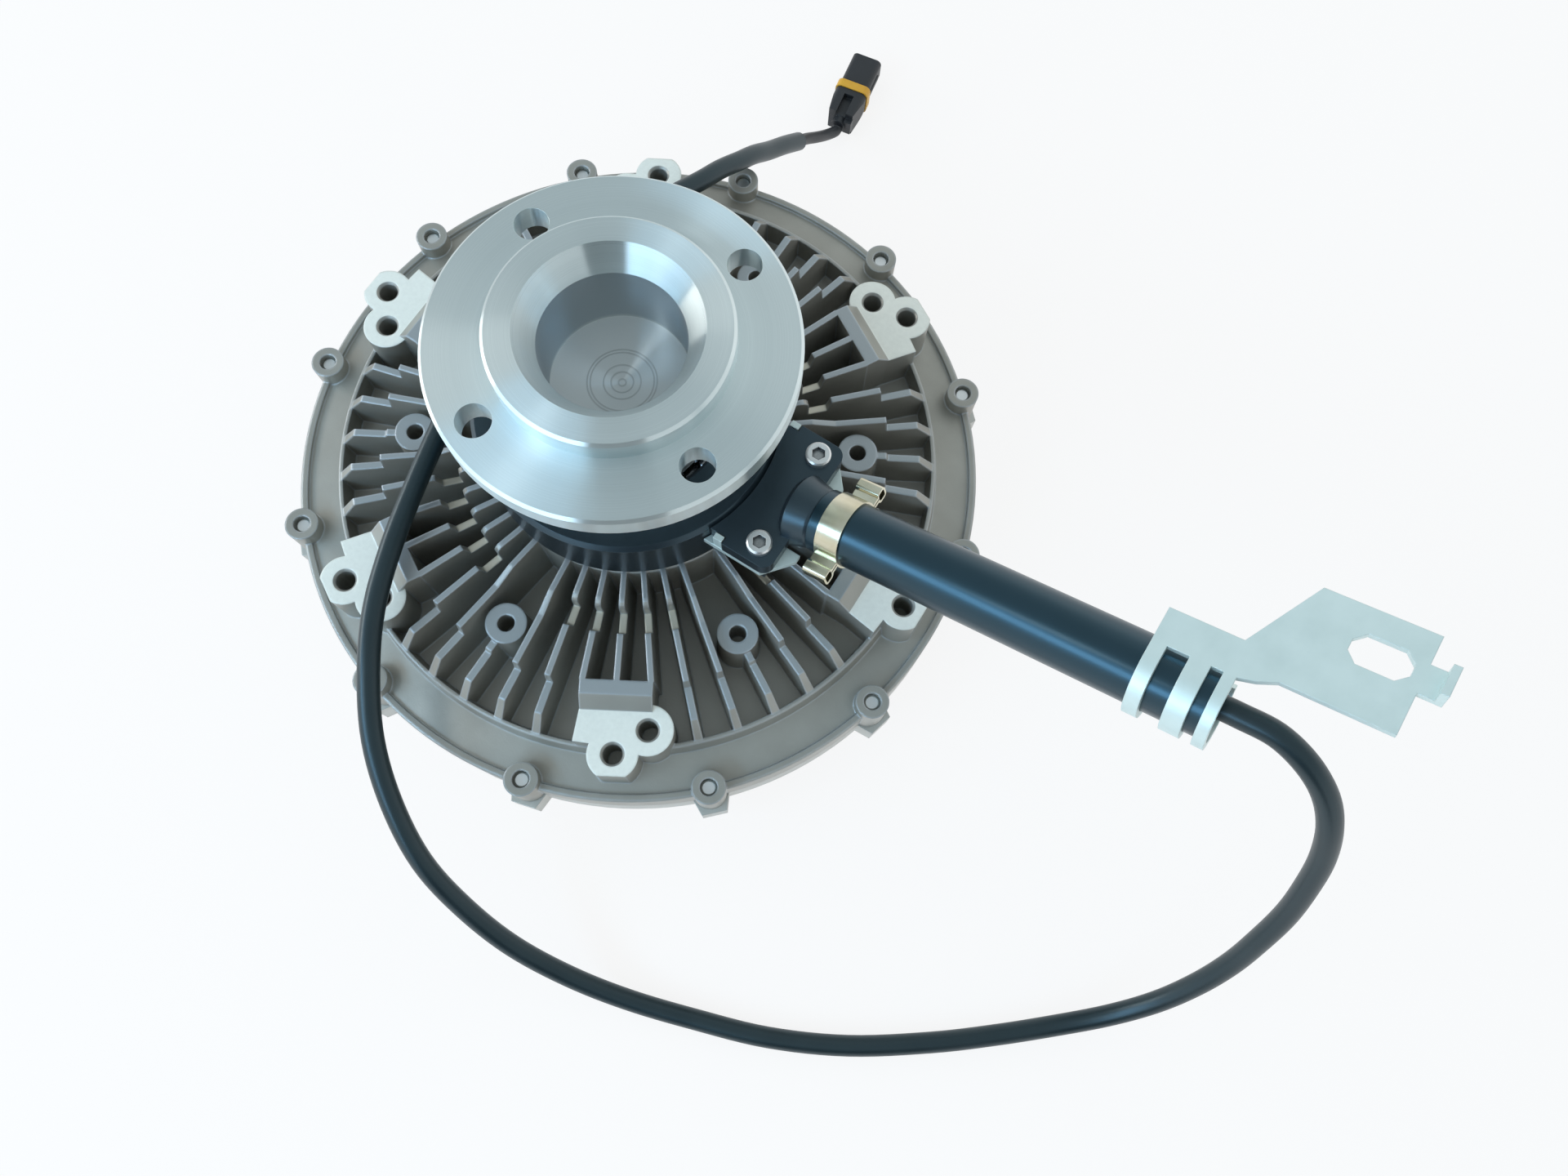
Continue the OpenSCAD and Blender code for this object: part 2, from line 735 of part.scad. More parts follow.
// One rear fin with drafted sides, cut from its side profile
module rear_fin(profile) {
    translate([0, 0, z_floor]) intersection() {
        rotate([90, 0, 0]) linear_extrude(4 * fin_root_t, center = true) polygon(profile);
        rotate([90, 0, 90]) linear_extrude(ring_r) polygon([
            [-fin_root_t, -2 * sink], [fin_root_t, -2 * sink], [fin_top_t, fin_in_h], [-fin_top_t, fin_in_h]
        ]);
    }
}

// The fins of one sector, counted from its fan pad
module fin_sector() {
    ridge = pad_ridge_in_r + sink;
    boss = boss_circle_r + boss_r - sink;
    pad_fin = concat(fin_inner_start(), fin_groove(), [[ridge, fin_mid_h], [ridge, -sink]]);
    grooved_fin = concat(fin_inner_start(), fin_groove(), fin_outer_end(fin_mid_h));
    plain_fin = concat(
        fin_inner_start(), [[groove_in_r, fin_in_h], [groove_out_r, fin_mid_h]], fin_outer_end(fin_mid_h)
    );
    boss_fin = concat([[boss, -sink], [boss, boss_fin_h]], fin_outer_end(boss_fin_h));
    for (k = [-1:1]) rotate(k * fin_pitch) rear_fin(pad_fin);
    for (k = [-2, 2]) rotate(k * fin_pitch) rear_fin(grooved_fin);
    for (k = [-3, 3]) rotate(k * fin_pitch) rear_fin(plain_fin);
    rotate(4 * fin_pitch) rear_fin(boss_fin);
}

// Place of a fan bolt: 0 is the outer one, 1 the inner one
module at_fan_bolt(which) {
    rotate(which * fan_inner_angle) translate([which == 0 ? fan_outer_r : fan_inner_r, 0, 0]) children();
}

// Outline of a fan pad: a sector of the ring with a round lobe at each bolt
module pad_outline() {
    half = pad_half_angle;
    intersection() {
        union() {
            polygon(concat(
                arc_points([0, 0], ring_r - 0.6, -half, half, 6),
                arc_points([0, 0], pad_in_r, half, -half, 6)
            ));
            for (which = [0, 1]) at_fan_bolt(which) circle(pad_lobe_r);
        }
        translate([pad_ridge_in_r, -pad_in_r / 2]) square([pad_out_r - pad_ridge_in_r, pad_in_r]);
    }
}

// Fan pad with the ridge behind it
module fan_pad() {
    half_w = pad_ridge_in_r * sin(fin_pitch) + fin_top_t;
    translate([0, 0, z_floor - 2 * sink]) linear_extrude(pad_h + 2 * sink) pad_outline();
    translate([0, 0, z_floor]) rotate([90, 0, 0]) linear_extrude(2 * half_w, center = true) polygon([
        [pad_ridge_in_r, -sink], [pad_ridge_in_r, fin_mid_h], [pad_ridge_out_r, fin_mid_h],
        [pad_in_r + 0.5, pad_h], [pad_in_r + 0.5, -sink]
    ]);
}

// Hole for a fan bolt, with a chamfered mouth
module fan_hole() {
    z = z_floor + pad_h;
    translate([0, 0, z - fan_hole_depth]) cylinder(r = fan_hole_r, h = fan_hole_depth + past);
    translate([0, 0, z - pad_chamfer])
        cylinder(r1 = fan_hole_r, r2 = fan_hole_r + 2 * pad_chamfer, h = 2 * pad_chamfer);
}

// Cast rear half of the housing, with fins, fan pads, bosses and the bearing tower
module housing_body() {
    color("darkgray") difference() {
        union() {
            rotate_extrude() polygon([
                [shoulder_r, z_recess], [recess_r, z_recess], [recess_r, z_roof], [chamber_r, z_roof],
                [chamber_r, z_joint - sink], [rim_r, z_joint - sink], [rim_r, z_lip - lip_edge],
                [rim_r - lip_edge, z_lip], [rim_r - lip_w, z_lip],
                [rim_r - lip_w - lip_edge / 2, z_lip - lip_h],
                [ring_r + ring_draft, z_lip - lip_h + rim_slope], [ring_r, z_floor + ring_h - ring_edge],
                [ring_r - ring_edge, z_floor + ring_h], [ring_r - ring_top_w, z_floor + ring_h],
                [ring_r - ring_top_w - ring_draft, z_floor], [tower_r, z_floor], [tower_r, z_tower - edge],
                [tower_r - edge, z_tower], [main_out_r + edge, z_tower], [main_out_r, z_tower - edge],
                [main_out_r, z_seal], [shoulder_r, z_seal]
            ]);
            for (i = [0:rotor_lands_n - 2])
                sleeve(land_first_r + (i + 0.5) * land_pitch - land_t / 2,
                    land_first_r + (i + 0.5) * land_pitch + land_t / 2, z_web + 1.2, z_roof - z_web - 1.2 + sink);
            for (s = [0:sectors - 1]) rotate(s * sector_angle) {
                fin_sector();
                fan_pad();
            }
            ring_of(sectors, boss_circle_r, sector_angle / 2)
                translate([0, 0, z_floor - sink]) cylinder(r1 = boss_r + 0.6, r2 = boss_r, h = boss_h + sink);
            ring_of(rim_screws_n, rim_screw_circle_r, sector_angle / 4)
                translate([0, 0, z_joint - 2 * sink]) cylinder(r = rim_boss_r, h = rim_boss_h + 2 * sink);
        }
        sleeve(chamber_r - past, lug_out_r, z_joint - 3 * sink, 3 * sink);
        sleeve(main_out_r - past, main_out_r + circlip_depth, z_main_top, circlip_t + seat_gap);
        sleeve(flux_in_r, flux_out_r, z_flux, flux_depth + past);
        ring_of(rim_screws_n, rim_screw_circle_r, sector_angle / 4)
            translate([0, 0, z_joint - past]) cylinder(r = rim_screw_r + seat_gap, h = rim_boss_h + 2 * past);
        ring_of(sectors, boss_circle_r, sector_angle / 2)
            translate([0, 0, z_floor + boss_h - fan_hole_depth])
                cylinder(r = boss_hole_r, h = fan_hole_depth + past);
        for (s = [0:sectors - 1], which = [0, 1]) rotate(s * sector_angle) at_fan_bolt(which) fan_hole();
    }
}

// Trapezoid lug of the cover for a rim screw
module cover_lug() {
    in_r = chamber_r + sink;
    root = rim_boss_r + 1;
    tip = rim_boss_r - 1.4;
    linear_extrude(cover_rim_t - lug_step + 2 * sink) polygon([
        [in_r, -root], [rim_screw_circle_r, -root], [lug_out_r, -tip], [lug_out_r, tip],
        [rim_screw_circle_r, root], [in_r, root]
    ]);
}

// Cast front half of the housing, with the reservoir, fins and screw lugs
module front_cover() {
    dome_r = reservoir_r + cover_wall;
    color("gainsboro") difference() {
        union() {
            rotate_extrude() polygon([
                [0, -sink], [dome_r, -sink], [dome_r + 2, z_plate], [ring_r + 4, z_plate],
                [rim_r, z_cover_rim], [rim_r, z_joint + sink], [chamber_r, z_joint + sink],
                [chamber_r, z_chamber],
                [0, z_chamber]
            ]);
            for (i = [0:cover_fins_n - 1]) rotate((i + 0.5) * 360 / cover_fins_n)
                rotate([90, 0, 0]) linear_extrude(2 * fin_root_t, center = true) polygon([
                    [dome_r - sink, -2 * sink], [ring_r - 5, -2 * sink], [ring_r + 3, z_plate + sink],
                    [dome_r - sink, z_plate + sink]
                ]);
            ring_of(rim_screws_n, 0, sector_angle / 4) translate([0, 0, z_lug]) cover_lug();
        }
        translate([0, 0, -3 * sink]) cylinder(r = rim_r, h = 3 * sink);
        translate([0, 0, z_joint]) cylinder(r = lug_out_r + past, h = 3 * sink);
        sleeve(0, chamber_r, z_chamber, joint_up + past);
        sleeve(0, reservoir_r, cover_wall, z_chamber);
        sleeve(0, reservoir_plate_r + plate_gap, z_chamber - reservoir_plate_t, reservoir_plate_t + past);
        sleeve(seal_circle_r - seal_groove_w / 2, seal_circle_r + seal_groove_w / 2,
            z_joint - seal_groove_depth, seal_groove_depth + past);
        ring_of(rim_screws_n, rim_screw_circle_r, sector_angle / 4)
            translate([0, 0, z_cover_rim - past]) cylinder(r = rim_screw_r + 0.3, h = cover_rim_t + 2 * past);
        ring_of(rim_screws_n, rim_screw_circle_r, sector_angle / 4)
            translate([0, 0, z_plate - past]) cylinder(r = screw_head_r + 0.4, h = z_lug - z_plate + past);
    }
}

// Socket screws that hold the two halves together, put in from the front
module cover_screws() {
    color("silver") ring_of(rim_screws_n, rim_screw_circle_r, sector_angle / 4) difference() {
        union() {
            translate([0, 0, z_lug - screw_head_h]) cylinder(r = screw_head_r, h = screw_head_h);
            translate([0, 0, z_lug - sink])
                cylinder(r = rim_screw_r, h = z_rim_boss - screw_short - screw_tip - z_lug + sink);
            translate([0, 0, z_rim_boss - screw_short - screw_tip])
                cylinder(r1 = rim_screw_r, r2 = rim_screw_r - screw_tip, h = screw_tip);
        }
        translate([0, 0, z_lug - screw_head_h - past])
            cylinder(r = screw_socket_r, h = screw_socket_h + past, $fn = 6);
    }
}

// Round sealing cord in the joint face
module cover_seal() {
    color("black") rotate_extrude()
        translate([seal_circle_r, z_joint - seal_groove_depth / 2]) circle(seal_cord_r);
}

// Plate that closes the reservoir, with two ports for the fluid
module reservoir_plate() {
    color("silver") difference() {
        sleeve(0, reservoir_plate_r, z_chamber - reservoir_plate_t, reservoir_plate_t);
        ring_of(2, fill_port_circle_r) translate([0, 0, z_chamber - reservoir_plate_t - past])
            cylinder(r = fill_port_r, h = reservoir_plate_t + 2 * past);
    }
}

module main_bearing_outer() {
    color("gainsboro") bearing_outer(main_bore_r, main_out_r, main_w, main_ball_r, z_main);
}

module main_bearing_balls() {
    color("white") bearing_balls(main_bore_r, main_out_r, main_w, main_ball_r, z_main, main_balls_n);
}

// Split ring that holds the main bearing in the tower
module bearing_circlip() {
    color("dimgray") difference() {
        sleeve(main_out_r - 3, main_out_r + circlip_depth - seat_gap, z_main_top, circlip_t);
        translate([0, -3, z_main_top - past]) cube([2 * main_out_r, 6, circlip_t + 2 * past]);
    }
}

// Lip seal between the tower and the spacer sleeve
module shaft_seal() {
    color("saddlebrown") rotate_extrude() polygon([
        [spacer_r + run_gap, z_seal + 1.6], [spacer_r + 3, z_seal], [main_out_r - seat_gap, z_seal],
        [main_out_r - seat_gap, z_seal + seal_w], [main_out_r - 2, z_seal + seal_w],
        [main_out_r - 2, z_seal + 2],
        [spacer_r + 5, z_seal + 2], [spacer_r + 2, z_seal + 4], [spacer_r + run_gap, z_seal + 3]
    ]);
}

// Steel ring that leads the coil's field through the tower
module flux_ring() {
    color("gray") sleeve(flux_in_r + seat_gap, flux_out_r - seat_gap, z_flux, z_flux_top - z_flux);
}

// Moulded ring round the coil, with the shelf for the anchor plate
module coil_housing() {
    color("#1c1c20") difference() {
        union() {
            rotate_extrude() polygon([
                [coil_out_r, z_coil], [coil_r - edge, z_coil], [coil_r, z_coil + edge],
                [coil_r, z_coil_top - 1.5],
                [coil_r - 1.5, z_coil_top], [coil_out_r - coil_race_lip + 1, z_coil_top],
                [coil_out_r - coil_race_lip, z_coil_top - 1], [coil_out_r - coil_race_lip, z_coil_shoulder],
                [coil_out_r, z_coil_shoulder]
            ]);
            difference() {
                translate([0, -shelf_w / 2, z_shelf]) cube([shelf_reach, shelf_w, shelf_t]);
                translate([0, 0, z_shelf - past]) cylinder(r = coil_r - sink, h = shelf_t + 2 * past);
            }
        }
        sleeve(yoke_in_r, yoke_out_r, z_coil - past, yoke_h + past);
        for (y = [-1, 1]) translate([block_screw_x, y * block_screw_pitch / 2, z_shelf - past])
            cylinder(r = block_screw_r + seat_gap, h = shelf_t + 2 * past);
        translate([sensor_x, 0, z_shelf - past]) cylinder(r = sensor_r + seat_gap, h = shelf_t + 2 * past);
    }
}

// Steel channel that closes the coil's field, open towards the flux ring
module coil_yoke() {
    color("gray") difference() {
        sleeve(yoke_in_r + seat_gap, yoke_out_r - seat_gap, z_coil, yoke_h - seat_gap);
        sleeve(yoke_in_r + yoke_wall, yoke_out_r - yoke_wall, z_coil - past, yoke_h - yoke_wall + past);
    }
}

module coil_winding() {
    color("chocolate") sleeve(yoke_in_r + yoke_wall + winding_gap, yoke_out_r - yoke_wall - winding_gap,
        z_coil + cap_t, yoke_h - yoke_wall - cap_t - winding_gap);
}

// Resin that seals the winding in its channel
module coil_cap() {
    color("darkolivegreen")
        sleeve(yoke_in_r + yoke_wall + seat_gap, yoke_out_r - yoke_wall - seat_gap, z_coil, cap_t);
}

module coil_bearing_outer() {
    color("gainsboro") bearing_outer(coil_bore_r, coil_out_r, coil_bearing_w, coil_ball_r, z_coil_bearing);
}

module coil_bearing_balls() {
    color("white")
        bearing_balls(coil_bore_r, coil_out_r, coil_bearing_w, coil_ball_r, z_coil_bearing, coil_balls_n);
}

// Sensor in the shelf that reads the fan speed
module speed_sensor() {
    color("#303038") translate([sensor_x, 0, z_shelf - sensor_stick])
        cylinder(r = sensor_r, h = shelf_t + sensor_stick);
}

// Plated plate under the lead block, with a wing at each side of the hose and two upright tabs at the coil
module anchor_plate() {
    color("lightcyan") difference() {
        union() {
            translate([0, 0, z_anchor]) linear_extrude(anchor_t) polygon([
                [0, -block_w / 2], [block_reach - 3, -block_w / 2], [anchor_reach, -anchor_tip_w / 2],
                [anchor_reach, anchor_tip_w / 2], [block_reach - 3, block_w / 2], [0, block_w / 2]
            ]);
            for (y = [-tab_y, tab_y - tab_t])
                translate([tab_x, y, z_anchor + sink])
                    cube([tab_w, tab_t, z_coil_top + tab_over - z_anchor - sink]);
        }
        translate([0, 0, z_anchor - past]) cylinder(r = coil_r + block_gap, h = anchor_t + 2 * past);
        translate([block_reach - 0.8, -anchor_notch, z_anchor - past])
            cube([anchor_reach, 2 * anchor_notch, anchor_t + 2 * past]);
        for (y = [-1, 1]) translate([block_screw_x, y * block_screw_pitch / 2, z_anchor - past])
            cylinder(r = block_screw_r + 0.25, h = anchor_t + 2 * past);
    }
}

// Neck of the lead block: a cone outside and a spigot in the hose
module lead_neck() {
    difference() {
        turned_on_hose(0) polygon([
            [0, -neck_back], [neck_back_r - 5, -neck_back], [neck_back_r - 1.5, 0.6 - neck_back],
            [neck_back_r, 2.4 - neck_back], [hose_r - 0.4, hose_start - 1], [hose_r - 0.9, hose_start],
            [barb_r, hose_start], [barb_r, hose_start + spigot_len - 2], [barb_r - 1, hose_start + spigot_len],
            [0, hose_start + spigot_len]
        ]);
        translate([0, -block_w, 0]) cube([block_reach - 0.5, 2 * block_w, z_anchor_top]);
    }
}

// Moulded block that leads the cable from the coil into the hose
module lead_block() {
    middle = (block_reach + coil_r / 2) / 2;
    color("#1c1c20") difference() {
        union() {
            difference() {
                translate([middle, 0, z_anchor_top]) linear_extrude(block_t)
                    rounded_rect([block_reach - coil_r / 2, block_w], block_corner_r);
                translate([0, 0, z_anchor_top - past])
                    cylinder(r = coil_r + block_gap, h = block_t + 2 * past);
                for (side = [0, 1]) mirror([0, side, 0])
                    translate([0, tab_y - tab_t - block_gap, z_anchor_top - past])
                        cube([tab_x + tab_w + block_gap, block_w, block_t + 2 * past]);
            }
            lead_neck();
        }
        turned_on_hose(lead_start) square([cable_r + seat_gap, hose_start + spigot_len - lead_start + past]);
        for (y = [-1, 1]) translate([block_screw_x, y * block_screw_pitch / 2, z_anchor_top - past])
            cylinder(r = block_screw_r + 0.25, h = block_t + 2 * past);
    }
}

// Two socket screws through the block and the plate into the shelf
module block_screws() {
    z_head = z_coil_top + block_head_h;
    color("silver") for (y = [-1, 1]) translate([block_screw_x, y * block_screw_pitch / 2, 0]) difference() {
        union() {
            translate([0, 0, z_coil_top]) cylinder(r = block_head_r, h = block_head_h - block_head_edge);
            translate([0, 0, z_head - block_head_edge])
                cylinder(r1 = block_head_r, r2 = block_head_r - block_head_edge, h = block_head_edge);
            translate([0, 0, z_shelf + sink]) cylinder(r = block_screw_r, h = z_coil_top - z_shelf);
        }
        translate([0, 0, z_head - block_socket_h]) cylinder(r = block_socket_r, h = block_head_h, $fn = 6);
    }
}

// Rubber hose that guards the cable and holds the carrier still
module tether_hose() {
    color("#20242c") turned_on_hose(hose_start) polygon([
        [hose_bore_r, 0], [hose_r - 0.5, 0], [hose_r, 0.5], [hose_r, hose_len - 0.8], [hose_r - 0.8, hose_len],
        [hose_bore_r, hose_len]
    ]);
}

// One folded ear of the clamp, in the plane across the hose
module clamp_ear() {
    in = hose_r + clamp_t / 2;
    difference() {
        union() {
            translate([in, -ear_neck_w / 2]) square([ear_reach - ear_w - in + 2 * clamp_t, ear_neck_w]);
            translate([ear_reach - ear_w / 2, 0]) rounded_rect([ear_w, ear_h], 2 * clamp_t);
        }
        translate([ear_reach - ear_w / 2, 0])
            rounded_rect([ear_w - 2 * clamp_t, ear_h - 2 * clamp_t], clamp_t);
        translate([0, -ear_slit / 2]) square([ear_reach - ear_w + 1.5 * clamp_t, ear_slit]);
    }
}

// Band clamp with two folded ears
module hose_clamp() {
    color("goldenrod") in_hose_frame(clamp_mid - clamp_w / 2) rotate([90, 0, 90]) linear_extrude(clamp_w)
        difference() {
            union() {
                circle(hose_r + clamp_t);
                for (side = [0, 180]) rotate(side) clamp_ear();
            }
            circle(hose_r + seat_gap);
        }
}

// Outline of the bracket's flat plate, without its straps
module bracket_outline() {
    bend = 10;
    difference() {
        polygon([
            [0, strap_y], [0, shoe_y], [neck_top_x, shoe_y], [head_x, head_high_y],
            [head_x + head_len, head_high_y],
            [head_x + head_len, tab_high_y], [head_x + head_len + tab_len, tab_high_y],
            [head_x + head_len + tab_len, tab_low_y], [head_x + head_len, tab_low_y],
            [head_x + head_len, head_low_y], [shoe_len + bend, head_low_y],
            [shoe_len + bend / 2, strap_y + 1.4],
            [shoe_len, strap_y]
        ]);
        translate([slot_x, slot_y]) cut_slot(slot_len, slot_w, slot_cut);
    }
}

// Folded plate that ties the hose to the engine: three straps are wrapped round the hose
module tether_bracket() {
    color("lightcyan") in_hose_frame(bracket_x) {
        translate([0, 0, strap_in_r]) linear_extrude(bracket_t) bracket_outline();
        for (i = [0:len(strap_starts) - 1]) {
            translate([strap_starts[i], 0, strap_in_r]) cube([strap_widths[i], strap_y + 0.5, bracket_t]);
            translate([strap_starts[i], 0, 0]) rotate([90, 0, 90]) rotate(90) rotate_extrude(angle = strap_wrap)
                translate([strap_in_r, 0]) square([bracket_t, strap_widths[i]]);
        }
        translate([head_x + head_len + tab_len - bracket_t, tab_low_y, strap_in_r])
            cube([bracket_t, tab_high_y - tab_low_y, tab_lip_h]);
    }
}

// Stretch of the cable that the hose guards
module lead_in_hose() {
    color("black") turned_on_hose(lead_start) square([cable_r, hose_end - lead_start - lead_end_gap]);
}

module cable() {
    color("black") path_tube(smooth_route(cable_route, 2), cable_r, 10);
}

module core_bundle() {
    color("#303030") path_tube(smooth_route(cores_route, 2), cores_r, 8);
}

// Placing of shapes in the connector's frame, with X towards its mating face
module in_connector_frame(x = 0) {
    translate([connector_place[0], connector_place[1], connector_z]) rotate(connector_angle)
        translate([x, 0, 0]) children();
}

// Block across the connector's axis with rounded corners
module connector_slab(x, length, w, h, r) {
    in_connector_frame(x) rotate([90, 0, 90]) linear_extrude(length) rounded_rect([w, h], r);
}

// Mating end of the connector, with five terminal openings
module connector_shell() {
    x = back_len + collar_len;
    color("#1c1c20") difference() {
        union() {
            connector_slab(x, connector_front, connector_w, connector_h, 2.4);
            connector_slab(x + 2, connector_front - 6, connector_w + 1.2, 3, 0.8);
        }
        for (k = [-2:2]) in_connector_frame(x + connector_front - terminal_depth)
            translate([0, k * terminal_pitch - terminal_w / 2, -terminal_w / 2])
                cube([terminal_depth + past, terminal_w, terminal_w]);
    }
}

// Coloured lock collar of the connector
module connector_collar() {
    color("gold")
        connector_slab(back_len, collar_len, connector_w + collar_more, connector_h + collar_more, 2.8);
}

// Rear part of the connector: it widens to the collar and has a slot between two ridges where the cores enter
module connector_back() {
    half = connector_w / 2 + back_swell;
    color("#26262b") difference() {
        union() {
            intersection() {
                connector_slab(relief_len, back_len - relief_len, 2 * half, connector_h + 2 * back_swell, 2.6);
                in_connector_frame(relief_len) linear_extrude(2 * connector_h, center = true) polygon([
                    [0, back_taper - half], [back_len - relief_len - back_straight, -half], [back_len, -half],
                    [back_len, half], [back_len - relief_len - back_straight, half], [0, half - back_taper]
                ]);
            }
            in_connector_frame(0) rotate([0, 90, 0]) cylinder(r = relief_r, h = relief_len + sink);
            in_connector_frame(0) translate([0.6, -relief_r - back_tab_w, -relief_r])
                cube([back_tab_len, back_tab_w + sink, 2 * relief_r]);
        }
        in_connector_frame(relief_len - past)
            translate([0, -back_slot_w / 2, connector_h / 2 + back_swell - back_slot_h])
                cube([back_len - relief_len - back_straight + past, back_slot_w, back_slot_h + past]);
    }
}

hub_shaft();
engine_flange();
rotor_disc();
rotor_bolt();
spacer_sleeve();
main_bearing_inner();
coil_bearing_inner();
coil_circlip();
spring_ring();
return_spring();
valve_armature();
housing_body();
front_cover();
cover_screws();
cover_seal();
reservoir_plate();
main_bearing_outer();
main_bearing_balls();
bearing_circlip();
shaft_seal();
flux_ring();
coil_housing();
coil_yoke();
coil_winding();
coil_cap();
coil_bearing_outer();
coil_bearing_balls();
speed_sensor();
anchor_plate();
lead_block();
block_screws();
tether_hose();
hose_clamp();
tether_bracket();
lead_in_hose();
cable();
core_bundle();
connector_shell();
connector_collar();
connector_back();
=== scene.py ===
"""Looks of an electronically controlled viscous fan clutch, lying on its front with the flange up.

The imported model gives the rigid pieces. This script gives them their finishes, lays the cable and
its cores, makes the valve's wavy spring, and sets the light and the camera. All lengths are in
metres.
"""

from __future__ import annotations

import logging
import math
from dataclasses import dataclass, field
from enum import Enum
from typing import Any, Sequence, Union

import bpy
import numpy as np
from mathutils import Matrix, Vector

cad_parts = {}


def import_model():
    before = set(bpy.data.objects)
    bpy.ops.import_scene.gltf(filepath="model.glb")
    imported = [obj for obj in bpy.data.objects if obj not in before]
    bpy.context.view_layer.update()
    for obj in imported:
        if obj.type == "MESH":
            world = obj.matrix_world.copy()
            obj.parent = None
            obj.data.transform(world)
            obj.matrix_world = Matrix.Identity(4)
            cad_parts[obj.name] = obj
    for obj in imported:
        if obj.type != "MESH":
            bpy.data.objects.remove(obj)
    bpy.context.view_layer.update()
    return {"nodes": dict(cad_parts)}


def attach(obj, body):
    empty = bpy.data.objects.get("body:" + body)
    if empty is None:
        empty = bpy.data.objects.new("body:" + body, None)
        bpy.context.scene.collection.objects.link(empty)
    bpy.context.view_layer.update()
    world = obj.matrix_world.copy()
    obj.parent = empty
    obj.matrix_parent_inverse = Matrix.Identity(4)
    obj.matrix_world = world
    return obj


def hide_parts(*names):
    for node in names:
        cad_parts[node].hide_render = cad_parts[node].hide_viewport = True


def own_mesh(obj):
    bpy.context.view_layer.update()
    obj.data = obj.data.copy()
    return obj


LOG = logging.getLogger("fan_clutch")
MM = 0.001
CORD_FACETS = 6
Colour = tuple[float, float, float]
Point = tuple[float, float, float]
Range = tuple[float, float]
Array = np.ndarray
Socket = bpy.types.NodeSocket
Value = Union[Socket, float, Colour]
Materials = dict[str, bpy.types.Material]


class Body(Enum):
    """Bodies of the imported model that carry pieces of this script."""

    CARRIER = "coil_carrier"
    HUB = "hub"


class Layers(Enum):
    """Number of finer layers in a noise."""

    PLAIN = 2.0
    FINE = 3.0
    CLOUDY = 4.0
    RICH = 5.0


class Operation(Enum):
    """Operations of a Math node."""

    ADD = "ADD"
    SUBTRACT = "SUBTRACT"
    MULTIPLY = "MULTIPLY"
    MAXIMUM = "MAXIMUM"
    SQRT = "SQRT"


def faded(colour: Colour, share: float) -> Colour:
    """A colour times a share of its strength."""
    red, green, blue = colour
    return (share * red, share * green, share * blue)


